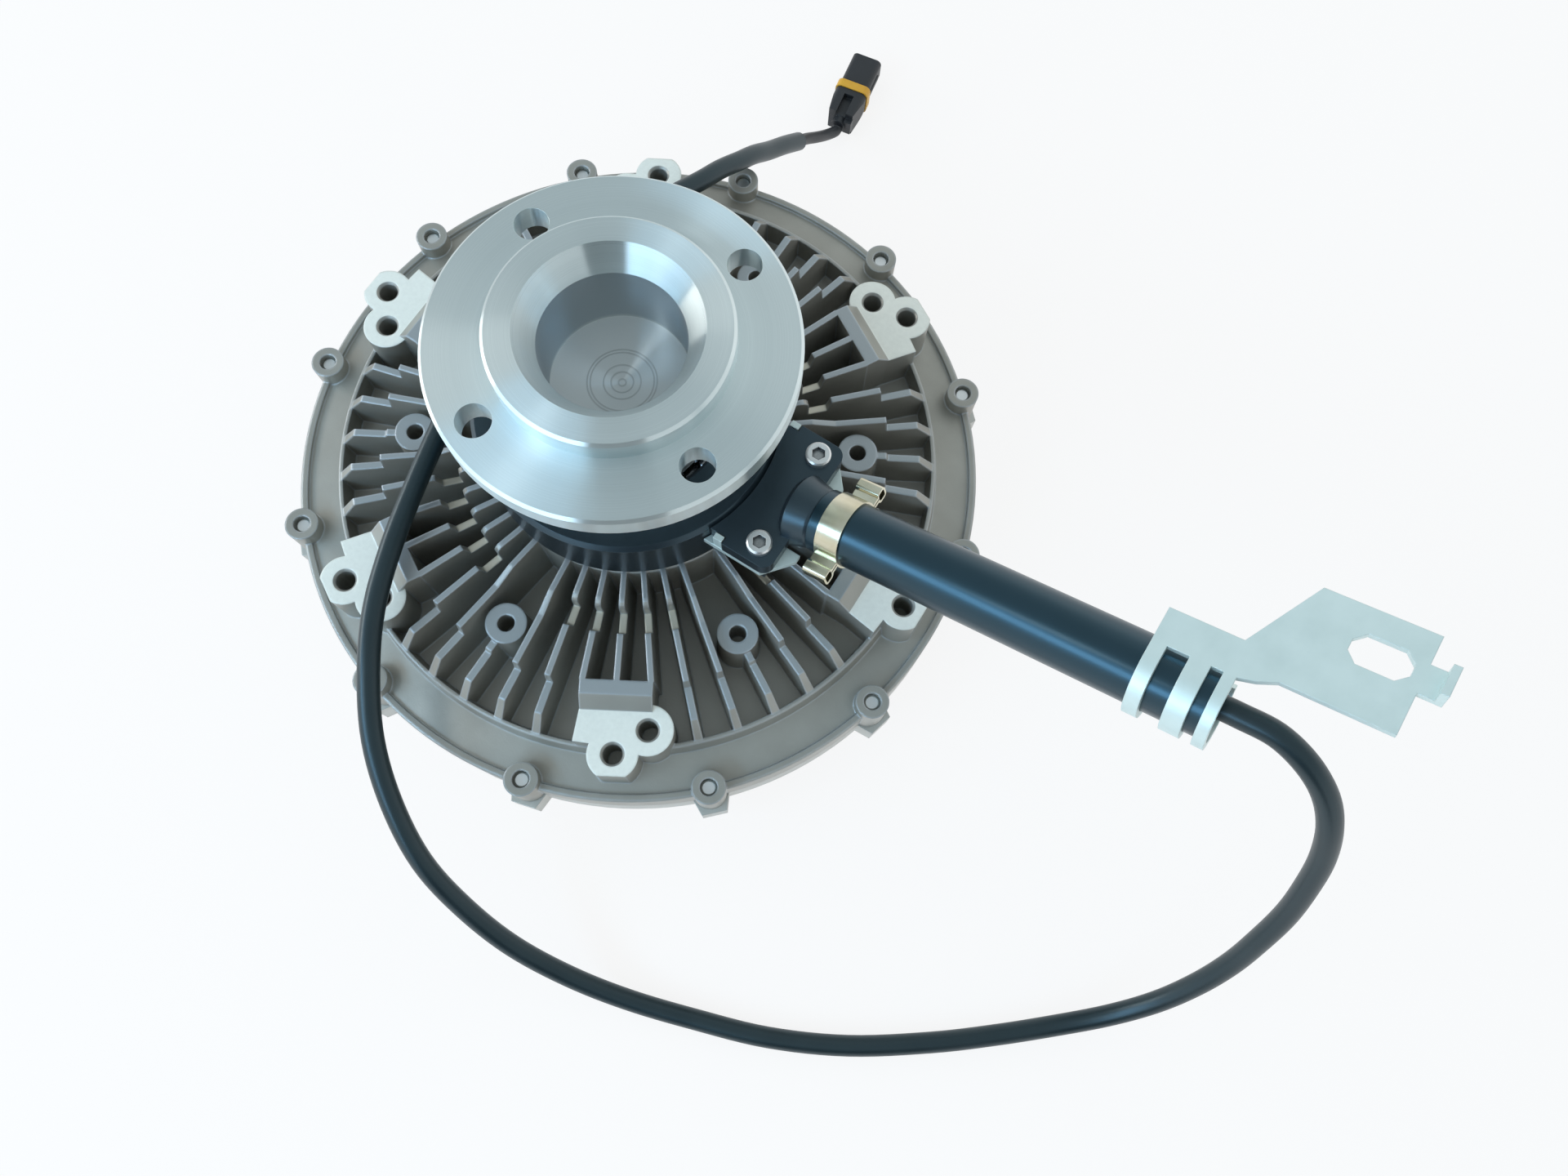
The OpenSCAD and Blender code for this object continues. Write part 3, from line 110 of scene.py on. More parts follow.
class Nodes:
    """Short ways to place the nodes of one material.

    Args:
        material: The material whose node tree is filled.
    """

    BEVEL_SAMPLES = 4
    OPENNESS_SAMPLES = 6
    EDGE_LEAN = (0.99, 0.86)
    MIX_FIRST = 6
    MIX_SECOND = 7
    MIX_RESULT = 2

    def __init__(self, material: bpy.types.Material) -> None:
        """Empties the tree."""
        material.use_nodes = True
        self.tree = material.node_tree
        self.tree.nodes.clear()
        self._coords: Socket | None = None

    def new(self, kind: str) -> Any:
        """Adds a node of a kind and returns it."""
        return self.tree.nodes.new(kind)

    def feed(self, socket: Socket, value: Value) -> None:
        """Links a socket to an output, or writes a plain number or colour into it."""
        if isinstance(value, Socket):
            self.tree.links.new(value, socket)
        elif socket.type == "RGBA":
            socket.default_value = (*value, 1.0)
        else:
            socket.default_value = value

    def show(self, shader: Socket) -> None:
        """Gives the material its shader."""
        self.feed(self.new("ShaderNodeOutputMaterial").inputs["Surface"], shader)

    def principled(self, **values: Value) -> None:
        """Gives the material a Principled shader.

        Args:
            values: Its sockets, by their names with underscores for spaces.
        """
        shader = self.new("ShaderNodeBsdfPrincipled")
        for name, value in values.items():
            self.feed(shader.inputs[name.replace("_", " ")], value)
        self.show(shader.outputs["BSDF"])

    def coords(self) -> Socket:
        """Object coordinates, which are the part's own frame in metres."""
        if self._coords is None:
            self._coords = self.new("ShaderNodeTexCoord").outputs["Object"]
        return self._coords

    def _split(self, vector: Socket) -> Any:
        """Outputs X, Y and Z of a vector."""
        node = self.new("ShaderNodeSeparateXYZ")
        self.feed(node.inputs[0], vector)
        return node.outputs

    def height(self) -> Socket:
        """Height above the ground."""
        return self._split(self.coords())["Z"]

    def radius(self) -> Socket:
        """Distance from the clutch axis: the root of the sum of the squares of X and Y."""
        x, y, _ = self._split(self.coords())
        return self._calc(Operation.SQRT, self.plus(self.times(x, x), self.times(y, y)))

    def flat_normal(self) -> Socket:
        """The surface's own normal."""
        return self.new("ShaderNodeNewGeometry").outputs["Normal"]

    def facing_up(self) -> Socket:
        """Z part of the surface's normal."""
        return self._split(self.flat_normal())["Z"]

    def stretched(self, scale: Point) -> Socket:
        """Object coordinates times a factor along each axis."""
        node = self.new("ShaderNodeMapping")
        self.feed(node.inputs["Vector"], self.coords())
        node.inputs["Scale"].default_value = scale
        return node.outputs["Vector"]

    def _calc(
        self, operation: Operation, a: Value, b: Value = 0.0, clamp: bool = False,
    ) -> Socket:
        """One Math node.

        Args:
            operation: What it does.
            a: First operand.
            b: Second operand.
            clamp: Keeps the result between 0 and 1.

        Returns:
            The result.
        """
        node = self.new("ShaderNodeMath")
        node.operation = operation.value
        node.use_clamp = clamp
        self.feed(node.inputs[0], a)
        self.feed(node.inputs[1], b)
        return node.outputs[0]

    def plus(self, a: Value, b: Value) -> Socket:
        """Sum of two values."""
        return self._calc(Operation.ADD, a, b)

    def minus(self, a: Value, b: Value, clamp: bool = False) -> Socket:
        """First value less the second, kept between 0 and 1 if clamped."""
        return self._calc(Operation.SUBTRACT, a, b, clamp)

    def times(self, a: Value, b: Value) -> Socket:
        """Product of two values. The product of two masks holds where both hold."""
        return self._calc(Operation.MULTIPLY, a, b)

    def larger(self, a: Value, b: Value) -> Socket:
        """The larger of two values. Of two masks, it holds where either holds."""
        return self._calc(Operation.MAXIMUM, a, b)

    def _range(self, value: Value, source: Range, target: Range) -> Socket:
        """Takes a value from one range to another, and keeps it inside."""
        node = self.new("ShaderNodeMapRange")
        node.clamp = True
        self.feed(node.inputs["Value"], value)
        limits = zip(("From Min", "From Max", "To Min", "To Max"), (*source, *target))
        for name, limit in limits:
            node.inputs[name].default_value = limit
        return node.outputs["Result"]

    def slope(self, value: Value, zero_at: float, one_at: float) -> Socket:
        """A ramp that is 0 at one value and 1 at another."""
        return self._range(value, (zero_at, one_at), (0.0, 1.0))

    def spread(self, value: Value, low: float, high: float) -> Socket:
        """Takes a value from 0 to 1 to a range of its own."""
        return self._range(value, (0.0, 1.0), (low, high))

    def band(self, value: Value, middle: float, half: float, soft: float) -> Socket:
        """A mask that is 1 within half a width of a middle value, with soft ends."""
        low, high = middle - half, middle + half
        rise = self.slope(value, low - soft, low + soft)
        fall = self.slope(value, high - soft, high + soft)
        return self.minus(rise, fall, clamp=True)

    def noise(
        self, scale: float, layers: Layers,
        vector: Socket | None = None, line: Socket | None = None,
    ) -> Socket:
        """Noise in space, or along one line.

        Args:
            scale: Number of bumps in a metre.
            layers: Its finer layers.
            vector: Coordinates, or None for Object coordinates.
            line: A single coordinate, for noise in one dimension.

        Returns:
            A value from 0 to 1.
        """
        node = self.new("ShaderNodeTexNoise")
        node.noise_dimensions = "3D" if line is None else "1D"
        node.inputs["Scale"].default_value = scale
        node.inputs["Detail"].default_value = layers.value
        if line is None:
            self.feed(node.inputs["Vector"], self.coords() if vector is None else vector)
        else:
            self.feed(node.inputs["W"], line)
        return node.outputs["Fac"]

    def mix(self, share: Value, first: Value, second: Value) -> Socket:
        """Mixes two colours."""
        node = self.new("ShaderNodeMix")
        node.data_type = "RGBA"
        self.feed(node.inputs["Factor"], share)
        self.feed(node.inputs[self.MIX_FIRST], first)
        self.feed(node.inputs[self.MIX_SECOND], second)
        return node.outputs[self.MIX_RESULT]

    def bump(self, height: Value, strength: float, distance: float, normal: Socket) -> Socket:
        """A bumped normal.

        Args:
            height: Height from 0 to 1.
            strength: Share of the bump that shows.
            distance: Height of the bump, in metres.
            normal: The normal that is bumped.

        Returns:
            The new normal.
        """
        node = self.new("ShaderNodeBump")
        node.inputs["Strength"].default_value = strength
        node.inputs["Distance"].default_value = distance
        self.feed(node.inputs["Height"], height)
        self.feed(node.inputs["Normal"], normal)
        return node.outputs["Normal"]

    def rounded(self, radius: float) -> Socket:
        """Normal that is rounded off at sharp edges, within a radius in metres."""
        node = self.new("ShaderNodeBevel")
        node.samples = self.BEVEL_SAMPLES
        node.inputs["Radius"].default_value = radius
        return node.outputs["Normal"]

    def sharp_edges(self, rounded: Socket) -> Socket:
        """A mask that is 1 at sharp edges, where the rounded normal leans away from the flat."""
        node = self.new("ShaderNodeVectorMath")
        node.operation = "DOT_PRODUCT"
        self.feed(node.inputs[0], rounded)
        self.feed(node.inputs[1], self.flat_normal())
        return self.slope(node.outputs["Value"], *self.EDGE_LEAN)

    def openness(self, reach: float) -> Socket:
        """How open a place is within a reach: 0 deep in a recess, 1 on a free face."""
        node = self.new("ShaderNodeAmbientOcclusion")
        node.samples = self.OPENNESS_SAMPLES
        node.only_local = True
        node.inputs["Distance"].default_value = reach
        return node.outputs["AO"]

    def radial_tangent(self) -> Socket:
        """Direction of the turning marks round the clutch axis."""
        node = self.new("ShaderNodeTangent")
        node.direction_type = "RADIAL"
        node.axis = "Z"
        return node.outputs["Tangent"]


@dataclass(frozen=True)
class Finish:
    """A finish with a fine grain, and the base of the others.

    Attributes:
        name: Name of the material.
        colour: Main colour.
        shade: Colour of its darker patches.
        metallic: 1 for bare metal.
        rough: Lowest and highest roughness.
        grain: Bumps in a metre.
        grain_height: Height of the bumps, in metres.
        edge: Radius of its rounded edges, in metres.
        coat: Weight of a clear gloss over it.
        coat_rough: Roughness of that gloss.
        tint: Colour of its glints; a blue one paints the window's blue light into them.
        gloss: Strength of its glints, where 0.5 is plain plastic.
        patch: Patches in a metre.
        patch_ends: Noise at which the main colour ends, and at which the shade is full.
        grain_show: Share of the grain that shows.
    """

    name: str
    colour: Colour
    shade: Colour
    metallic: float = 0.0
    rough: Range = (0.4, 0.55)
    grain: float = 1500.0
    grain_height: float = 0.02 * MM
    edge: float = 0.4 * MM
    coat: float = 0.0
    coat_rough: float = 0.12
    tint: Colour = (1.0, 1.0, 1.0)
    gloss: float = 0.5
    patch: float = 60.0
    patch_ends: Range = (0.35, 0.7)
    grain_show: float = 0.5

    def material(self) -> bpy.types.Material:
        """Makes the material.

        Returns:
            The new material.
        """
        material = bpy.data.materials.new(self.name)
        self.fill(Nodes(material))
        return material

    def patched(self, nodes: Nodes, patches: Socket) -> Socket:
        """The main colour and the shade, mixed by patches."""
        return nodes.mix(nodes.slope(patches, *self.patch_ends), self.colour, self.shade)

    def fill(self, nodes: Nodes) -> None:
        """Fills the material with patches of two colours and a fine grain."""
        patches = nodes.noise(self.patch, Layers.CLOUDY)
        grain = nodes.noise(self.grain, Layers.FINE)
        edges = nodes.rounded(self.edge)
        nodes.principled(
            Base_Color=self.patched(nodes, patches),
            Metallic=self.metallic,
            Roughness=nodes.spread(patches, *self.rough),
            Coat_Weight=self.coat,
            Coat_Roughness=self.coat_rough,
            Specular_Tint=self.tint,
            Specular_IOR_Level=self.gloss,
            Normal=nodes.bump(grain, self.grain_show, self.grain_height, edges),
        )


@dataclass(frozen=True)
class ScrewPlating(Finish):
    """Bright plating, with painted shade down in the sockets.

    Attributes:
        socket: Colour of the painted shade in the sockets.
        reach: Depth of a socket, in metres.
        open_ends: Openness at which a place counts as deep, and at which it counts as free.
    """

    socket: Colour = (0.06, 0.065, 0.07)
    reach: float = 3.0 * MM
    open_ends: Range = (0.4, 0.85)

    def fill(self, nodes: Nodes) -> None:
        """Fills the material: openness picks where the sockets' painted shade goes."""
        patches = nodes.noise(self.patch, Layers.CLOUDY)
        free = nodes.slope(nodes.openness(self.reach), *self.open_ends)
        nodes.principled(
            # Painted shade: closed-in places take the dark socket colour.
            Base_Color=nodes.mix(free, self.socket, self.patched(nodes, patches)),
            Metallic=self.metallic,
            Roughness=nodes.spread(patches, *self.rough),
            Normal=nodes.rounded(self.edge),
        )


@dataclass(frozen=True)
class TurnedSteel(Finish):
    """Bright steel with turning marks round the clutch axis.

    Attributes:
        marks: Turning marks in a metre.
        bands: Broader bands in a metre.
        mark_share: Share of the marks in the tone, the rest being the bands' share.
        tone_ends: Tone at which the shade ends, and at which the main colour is full.
        mark_height: Height of the marks.
        mark_show: Share of that height that shows.
        climb: Share of the height that counts beside the radius, where marks run up a wall.
        anisotropy: Strength of the streak that the marks draw out of a highlight.
        streak_turn: Turn of that streak from the marks, in whole turns.
        wall_ends: Facing at which a wall begins, and at which it counts in full.
        wall_polish: Roughness that a wall lacks.
        bore: Colour of the bore's wall: a painted dark reflection of the bore around it.
        bore_z: Height of the bore's mouth.
        bore_r: Radius inside which that colour holds.
        bore_soft: Softness of that colour's edge, across and up.
        floor: Colour of the bore's floor.
        floor_z: Height of the bore's floor.
        floor_ends: Height over the floor at which its colour begins, and at which it is full.
        rings: Radii of the grooves turned into that floor.
        ring_half: Half the width of a groove.
        ring_depth: Depth of a groove.
        ring_show: Share of that depth that shows.
        ring_dim: Brightness of a groove, as a share of the floor's: painted shade in the groove.
    """

    marks: float = 2600.0
    bands: float = 180.0
    mark_share: float = 0.6
    tone_ends: Range = (0.3, 0.7)
    mark_height: float = 0.006 * MM
    mark_show: float = 0.2
    climb: float = 0.8
    anisotropy: float = 1.0
    streak_turn: float = 0.25
    wall_ends: Range = (0.97, 0.9)
    wall_polish: float = 0.09
    bore: Colour = (0.50, 0.55, 0.58)
    bore_z: float = 138.6 * MM
    bore_r: float = 23.2 * MM
    bore_soft: Range = (0.3 * MM, 0.2 * MM)
    floor: Colour = (0.67, 0.71, 0.71)
    floor_z: float = 112.6 * MM
    floor_ends: Range = (1.6 * MM, 0.4 * MM)
    rings: tuple[float, ...] = (11.2 * MM, 10.2 * MM, 6.0 * MM, 3.6 * MM, 1.2 * MM)
    ring_half: float = 0.25 * MM
    ring_depth: float = 0.1 * MM
    ring_show: float = 0.5
    ring_dim: float = 0.75

    def _inside(self, nodes: Nodes) -> Socket:
        """A mask that holds in the bore, under its mouth, where the wall's painted dark reflection
        goes.
        """
        across, up = self.bore_soft
        near = nodes.slope(nodes.radius(), self.bore_r + across, self.bore_r)
        return nodes.times(near, nodes.slope(nodes.height(), self.bore_z + up, self.bore_z - up))

    def _grooves(self, nodes: Nodes, bottom: Socket) -> Socket:
        """A mask that holds in the grooves of the bore's floor."""
        radius = nodes.radius()
        grooves: Value = 0.0
        for ring in self.rings:
            groove = nodes.band(radius, ring, self.ring_half, self.ring_half / 2)
            grooves = nodes.larger(grooves, groove)
        return nodes.times(grooves, bottom)

    def fill(self, nodes: Nodes) -> None:
        """Fills the material.

        The marks follow the radius plus a share of the height, so that they run round faces and
        walls alike.
        """
        height = nodes.height()
        line = nodes.plus(nodes.radius(), nodes.times(height, self.climb))
        marks = nodes.noise(self.marks, Layers.FINE, line=line)
        bands = nodes.noise(self.bands, Layers.PLAIN, line=line)
        first, last = self.floor_ends
        bottom = nodes.slope(height, self.floor_z + first, self.floor_z + last)
        grooves = self._grooves(nodes, bottom)
        band_share = 1.0 - self.mark_share
        tone = nodes.plus(nodes.times(marks, self.mark_share), nodes.times(bands, band_share))
        steel = nodes.mix(nodes.slope(tone, *self.tone_ends), self.shade, self.colour)
        # Painted dark reflection on the bore's wall.
        steel = nodes.mix(self._inside(nodes), steel, self.bore)
        steel = nodes.mix(bottom, steel, self.floor)
        wall = nodes.slope(nodes.facing_up(), *self.wall_ends)
        rough = nodes.spread(marks, *self.rough)
        edges = nodes.rounded(self.edge)
        normal = nodes.bump(marks, self.mark_show, self.mark_height, edges)
        normal = nodes.bump(nodes.minus(1.0, grooves), self.ring_show, self.ring_depth, normal)
        nodes.principled(
            # Painted shade in the grooves of the bore's floor.
            Base_Color=nodes.mix(grooves, steel, faded(self.floor, self.ring_dim)),
            Metallic=self.metallic,
            Roughness=nodes.minus(rough, nodes.times(wall, self.wall_polish)),
            Anisotropic=self.anisotropy,
            Anisotropic_Rotation=self.streak_turn,
            Tangent=nodes.radial_tangent(),
            Normal=normal,
        )


@dataclass(frozen=True)
class CastAlloy(Finish):
    """Cast aluminium: warm, with painted shade below, painted sheen on fin tops, and machined pads.

    Attributes:
        up_ends: Facing at which an upper face begins, and at which it counts in full.
        top: Colour of the fins' upper faces: a painted cool sheen of the window's light.
        top_z: Height at which upper faces count as tops.
        top_soft: Softness of that height.
        top_polish: Roughness that the tops lack.
        machined: Colour of the pads.
        pad_z: Height of the machined pads.
        pad_r: Inner radius of the machined pads.
        pad_half: Height above and below at which a face still counts as a pad.
        pad_soft: Softness of the pads' inner radius.
        pad_metal: Metallic value of the pads.
        pad_marks: Cutter marks on the pads in a metre.
        pad_dim: Brightness of those marks, as a share of the pad's.
        pad_smooth: Share of the casting's grain that the pads lack.
        mark_ends: Noise at which the pad's colour ends, and at which the marks are full.
        low: Colour of the floor between the fins: painted shade, where less light falls.
        low_z: Heights at which that colour begins, and at which it is full.
        low_r: Radius of the finned ring.
        low_soft: Softness of that radius.
        bright: Colour of sharp edges: partly wear, partly a painted highlight in the window's blue.
        wear_and_glint: Share of that colour that shows.
        groove: Colour of the fins where the turned groove crosses them.
        groove_z: Height of that groove's floor.
        groove_half: Height above and below at which a face still counts as the groove's.
        groove_r: Radius inside which the groove lies.
        groove_soft: Softness of that radius.
        height_soft: Softness of the heights of pads and groove.
        pits: Pits in a metre.
        pit_share: Depth of the pits beside the grain.
    """

    patch: float = 45.0
    patch_ends: Range = (0.3, 0.75)
    grain_show: float = 0.6
    up_ends: Range = (0.85, 0.97)
    top: Colour = (0.38, 0.42, 0.44)
    top_z: float = 56.0 * MM
    top_soft: float = 1.0 * MM
    top_polish: float = 0.1
    machined: Colour = (0.93, 0.95, 0.88)
    pad_z: float = 60.6 * MM
    pad_r: float = 95.5 * MM
    pad_half: float = 0.4 * MM
    pad_soft: float = 0.5 * MM
    pad_metal: float = 0.1
    pad_marks: float = 700.0
    pad_dim: float = 0.94
    pad_smooth: float = 0.85
    mark_ends: Range = (0.3, 0.7)
    low: Colour = (0.38, 0.37, 0.34)
    low_z: Range = (48.5 * MM, 42.5 * MM)
    low_r: float = 108.5 * MM
    low_soft: float = 0.4 * MM
    bright: Colour = (0.66, 0.74, 0.82)
    wear_and_glint: float = 0.55
    groove: Colour = (0.66, 0.62, 0.52)
    groove_z: float = 59.5 * MM
    groove_half: float = 0.3 * MM
    groove_r: float = 90.0 * MM
    groove_soft: float = 1.0 * MM
    height_soft: float = 0.1 * MM
    pits: float = 420.0
    pit_share: float = 0.8

    def _tops(self, nodes: Nodes, up: Socket) -> Socket:
        """A mask that holds on the fins' upper faces."""
        high = nodes.slope(nodes.height(), self.top_z - self.top_soft, self.top_z + self.top_soft)
        return nodes.times(up, high)

    def _pads(self, nodes: Nodes, up: Socket) -> Socket:
        """A mask that holds on the machined pads."""
        level = nodes.band(nodes.height(), self.pad_z, self.pad_half, self.height_soft)
        outside = nodes.slope(nodes.radius(), self.pad_r, self.pad_r + self.pad_soft)
        return nodes.times(nodes.times(level, up), outside)

    def _deep(self, nodes: Nodes) -> Socket:
        """A mask that holds down between the fins."""
        within = nodes.slope(
            nodes.radius(), self.low_r + self.low_soft, self.low_r - self.low_soft,
        )
        return nodes.times(nodes.slope(nodes.height(), *self.low_z), within)

    def _groove(self, nodes: Nodes, up: Socket) -> Socket:
        """A mask that holds where the turned groove crosses the fins."""
        within = nodes.slope(
            nodes.radius(), self.groove_r + self.groove_soft, self.groove_r - self.groove_soft,
        )
        level = nodes.band(nodes.height(), self.groove_z, self.groove_half, self.height_soft)
        return nodes.times(nodes.times(up, within), level)

    def fill(self, nodes: Nodes) -> None:
        """Fills the material: masks by height, radius and facing pick the colours."""
        up = nodes.slope(nodes.facing_up(), *self.up_ends)
        tops = self._tops(nodes, up)
        pads = self._pads(nodes, up)
        edges = nodes.rounded(self.edge)
        patches = nodes.noise(self.patch, Layers.RICH)
        # Painted shade down between the fins.
        body = nodes.mix(self._deep(nodes), self.patched(nodes, patches), self.low)
        # Painted sheen on the fins' upper faces.
        body = nodes.mix(tops, body, self.top)
        # Sharp edges: partly wear, partly a painted highlight.
        body = nodes.mix(nodes.times(nodes.sharp_edges(edges), self.wear_and_glint), body, self.bright)
        body = nodes.mix(self._groove(nodes, up), body, self.groove)
        marks = nodes.slope(nodes.noise(self.pad_marks, Layers.FINE), *self.mark_ends)
        pale = nodes.mix(marks, self.machined, faded(self.machined, self.pad_dim))
        rough = nodes.spread(patches, *self.rough)
        pits = nodes.times(nodes.noise(self.pits, Layers.PLAIN), self.pit_share)
        grain = nodes.plus(nodes.noise(self.grain, Layers.PLAIN), pits)
        grain = nodes.times(grain, nodes.minus(1.0, nodes.times(pads, self.pad_smooth)))
        nodes.principled(
            Base_Color=nodes.mix(pads, body, pale),
            Metallic=nodes.spread(pads, self.metallic, self.pad_metal),
            Roughness=nodes.minus(rough, nodes.times(tops, self.top_polish)),
            Normal=nodes.bump(grain, self.grain_show, self.grain_height, edges),
        )


@dataclass(frozen=True)
class RolledPlate(Finish):
    """Plated sheet with faint rolling marks along one direction.

    Attributes:
        marks: Rolling marks in a metre along each axis.
    """

    patch: float = 90.0
    grain_show: float = 0.3
    marks: Point = (60.0, 900.0, 900.0)

    def fill(self, nodes: Nodes) -> None:
        """Fills the material with noise drawn out along the rolling, and cloudy plating."""
        marks = nodes.noise(1.0, Layers.FINE, nodes.stretched(self.marks))
        cloud = nodes.noise(self.patch, Layers.CLOUDY)
        edges = nodes.rounded(self.edge)
        nodes.principled(
            Base_Color=self.patched(nodes, cloud),
            Metallic=self.metallic,
            Roughness=nodes.spread(cloud, *self.rough),
            Normal=nodes.bump(marks, self.grain_show, self.grain_height, edges),
        )


STEEL = TurnedSteel(
    "turned_steel", (0.79, 0.88, 0.89), (0.72, 0.81, 0.82), 1.0, (0.35, 0.42), edge=0.2 * MM,
)
DARK_STEEL = Finish("oiled_steel", (0.22, 0.22, 0.23), (0.15, 0.15, 0.16), 1.0, (0.3, 0.45))
BEARING = Finish("ground_steel", (0.66, 0.67, 0.69), (0.58, 0.59, 0.61), 1.0, (0.14, 0.22))
PLATED = ScrewPlating(
    "plated_screws", (0.80, 0.82, 0.82), (0.68, 0.70, 0.70), 0.9, (0.25, 0.38), edge=0.3 * MM,
)
CAST = CastAlloy(
    "cast_alloy", (0.40, 0.395, 0.36), (0.33, 0.322, 0.288), 0.5, (0.35, 0.5),
    grain=1600.0, grain_height=0.05 * MM, edge=1.1 * MM,
)
COVER = Finish(
    "cover_alloy", (0.60, 0.60, 0.565), (0.52, 0.515, 0.48), 0.5, (0.4, 0.55),
    grain=1400.0, grain_height=0.05 * MM, edge=0.6 * MM,
)
ZINC = RolledPlate("zinc_plate", (0.72, 0.84, 0.82), (0.65, 0.77, 0.75), 0.5, (0.32, 0.46))
GOLD_ZINC = RolledPlate(
    "gold_zinc", (0.74, 0.71, 0.57), (0.60, 0.56, 0.40), 1.0, (0.14, 0.24), edge=0.3 * MM,
)
COPPER = Finish("copper_wire", (0.6, 0.29, 0.14), (0.45, 0.2, 0.1), 1.0, (0.3, 0.4))
RESIN = Finish("potting_resin", (0.1, 0.11, 0.08), (0.07, 0.08, 0.06), 0.0, (0.2, 0.3))
# Its blue tint paints the window's blue light into its glints.
MOULDING = Finish(
    "black_moulding", (0.012, 0.018, 0.023), (0.016, 0.023, 0.029), 0.0, (0.24, 0.36),
    grain=2200.0, tint=(0.6, 0.85, 1.0), gloss=0.9,
)
CONNECTOR = Finish(
    "connector_black", (0.022, 0.025, 0.030), (0.017, 0.019, 0.022), 0.0, (0.38, 0.5),
    grain=1800.0,
)
COLLAR = Finish(
    "collar_yellow", (0.83, 0.47, 0.035), (0.72, 0.36, 0.03), 0.0, (0.35, 0.45), grain=1200.0,
)
# Its blue tint paints the window's blue light into its glints.
HOSE = Finish(
    "hose_rubber", (0.002, 0.007, 0.011), (0.003, 0.009, 0.014), 0.0, (0.26, 0.34),
    grain=900.0, grain_height=0.006 * MM, coat=0.12, tint=(0.42, 0.78, 1.0), gloss=1.0,
)
# Its blue tint paints the window's blue light into its glints.
SHEATH = Finish(
    "cable_sheath", (0.008, 0.016, 0.019), (0.011, 0.020, 0.023), 0.0, (0.3, 0.4),
    grain=1600.0, grain_height=0.01 * MM, tint=(0.7, 0.9, 1.0), gloss=0.7,
)
SEAL = Finish("brown_rubber", (0.16, 0.08, 0.045), (0.12, 0.06, 0.035), 0.0, (0.5, 0.6))

NODE_FINISHES: dict[Finish, tuple[str, ...]] = {
    STEEL: ("hub_shaft", "engine_flange", "spacer_sleeve"),
    DARK_STEEL: (
        "rotor_bolt", "coil_circlip", "spring_ring", "return_spring", "valve_armature",
        "bearing_circlip", "flux_ring", "coil_yoke",
    ),
    BEARING: (
        "main_bearing_inner", "main_bearing_outer", "main_bearing_balls",
        "coil_bearing_inner", "coil_bearing_outer", "coil_bearing_balls",
    ),
    PLATED: ("cover_screws", "reservoir_plate", "block_screws"),
    CAST: ("housing_body",),
    COVER: ("front_cover", "rotor_disc"),
    ZINC: ("anchor_plate", "tether_bracket"),
    GOLD_ZINC: ("hose_clamp",),
    COPPER: ("coil_winding",),
    RESIN: ("coil_cap",),
    MOULDING: ("coil_housing", "lead_block", "speed_sensor"),
    CONNECTOR: ("connector_shell", "connector_back", "core_bundle"),
    COLLAR: ("connector_collar",),
    HOSE: ("tether_hose",),
    SHEATH: ("lead_in_hose", "cable", "cover_seal"),
    SEAL: ("shaft_seal",),
}


def smooth_path(points: Array, steps: int) -> Array:
    """Points on the smooth curve through a route.

    Each stretch is a cubic through its two ends. At each end it runs along the line that joins
    the route points before and after that end.

    Args:
        points: Route points, one per row.
        steps: Number of new points in each stretch.

    Returns:
        The points of the curve, one per row.
    """
    before = np.vstack([points[:1], points[:-2]])
    start, stop = points[:-1], points[1:]
    after = np.vstack([points[2:], points[-1:]])
    t = (np.arange(steps) / steps)[None, :, None]
    a, b, c, d = (p[:, None, :] for p in (before, start, stop, after))
    linear = (c - a) * t
    square = (2 * a - 5 * b + 4 * c - d) * t**2
    cubic = (3 * b - a - 3 * c + d) * t**3
    curve = 2 * b + linear + square + cubic
    return np.vstack([0.5 * curve.reshape(-1, 3), points[-1:]])


def link(obj: bpy.types.Object) -> bpy.types.Object:
    """Puts an object into the scene and returns it."""
    bpy.context.scene.collection.objects.link(obj)
    return obj


def round_cord(name: str, points: Array, radius: float) -> bpy.types.Object:
    """A round cord along points, as a curve of one open spline.

    Args:
        name: Name of the piece.
        points: Points of its centreline, one per row.
        radius: Radius of the cord.

    Returns:
        The new object.
    """
    curve = bpy.data.curves.new(name, "CURVE")
    curve.dimensions = "3D"
    curve.bevel_depth = radius
    curve.bevel_resolution = CORD_FACETS
    curve.use_fill_caps = True
    spline = curve.splines.new("POLY")
    spline.points.add(len(points) - 1)
    spline.points.foreach_set("co", np.column_stack([points, np.ones(len(points))]).ravel())
    spline.use_smooth = True
    return link(bpy.data.objects.new(name, curve))


def square(name: str, size: float) -> bpy.types.Object:
    """A flat square about the origin, facing up.

    Args:
        name: Name of the object.
        size: Length of a side.

    Returns:
        The new object.
    """
    half = size / 2
    corners = [(-half, -half, 0.0), (half, -half, 0.0), (half, half, 0.0), (-half, half, 0.0)]
    mesh = bpy.data.meshes.new(name)
    mesh.from_pydata(corners, [], [(0, 1, 2, 3)])
    return link(bpy.data.objects.new(name, mesh))


@dataclass
class HoseLine:
    """Axis of the hose, which starts over the lead block and rises along +X."""

    start: Point = (70.0 * MM, 0.0, 94.0 * MM)
    rise_deg: float = 18.0
    end: float = 139.5 * MM

    def point(self, along: float) -> Array:
        """Point on the axis at a distance from its start."""
        rise = math.radians(self.rise_deg)
        return np.array(self.start) + along * np.array([math.cos(rise), 0.0, math.sin(rise)])


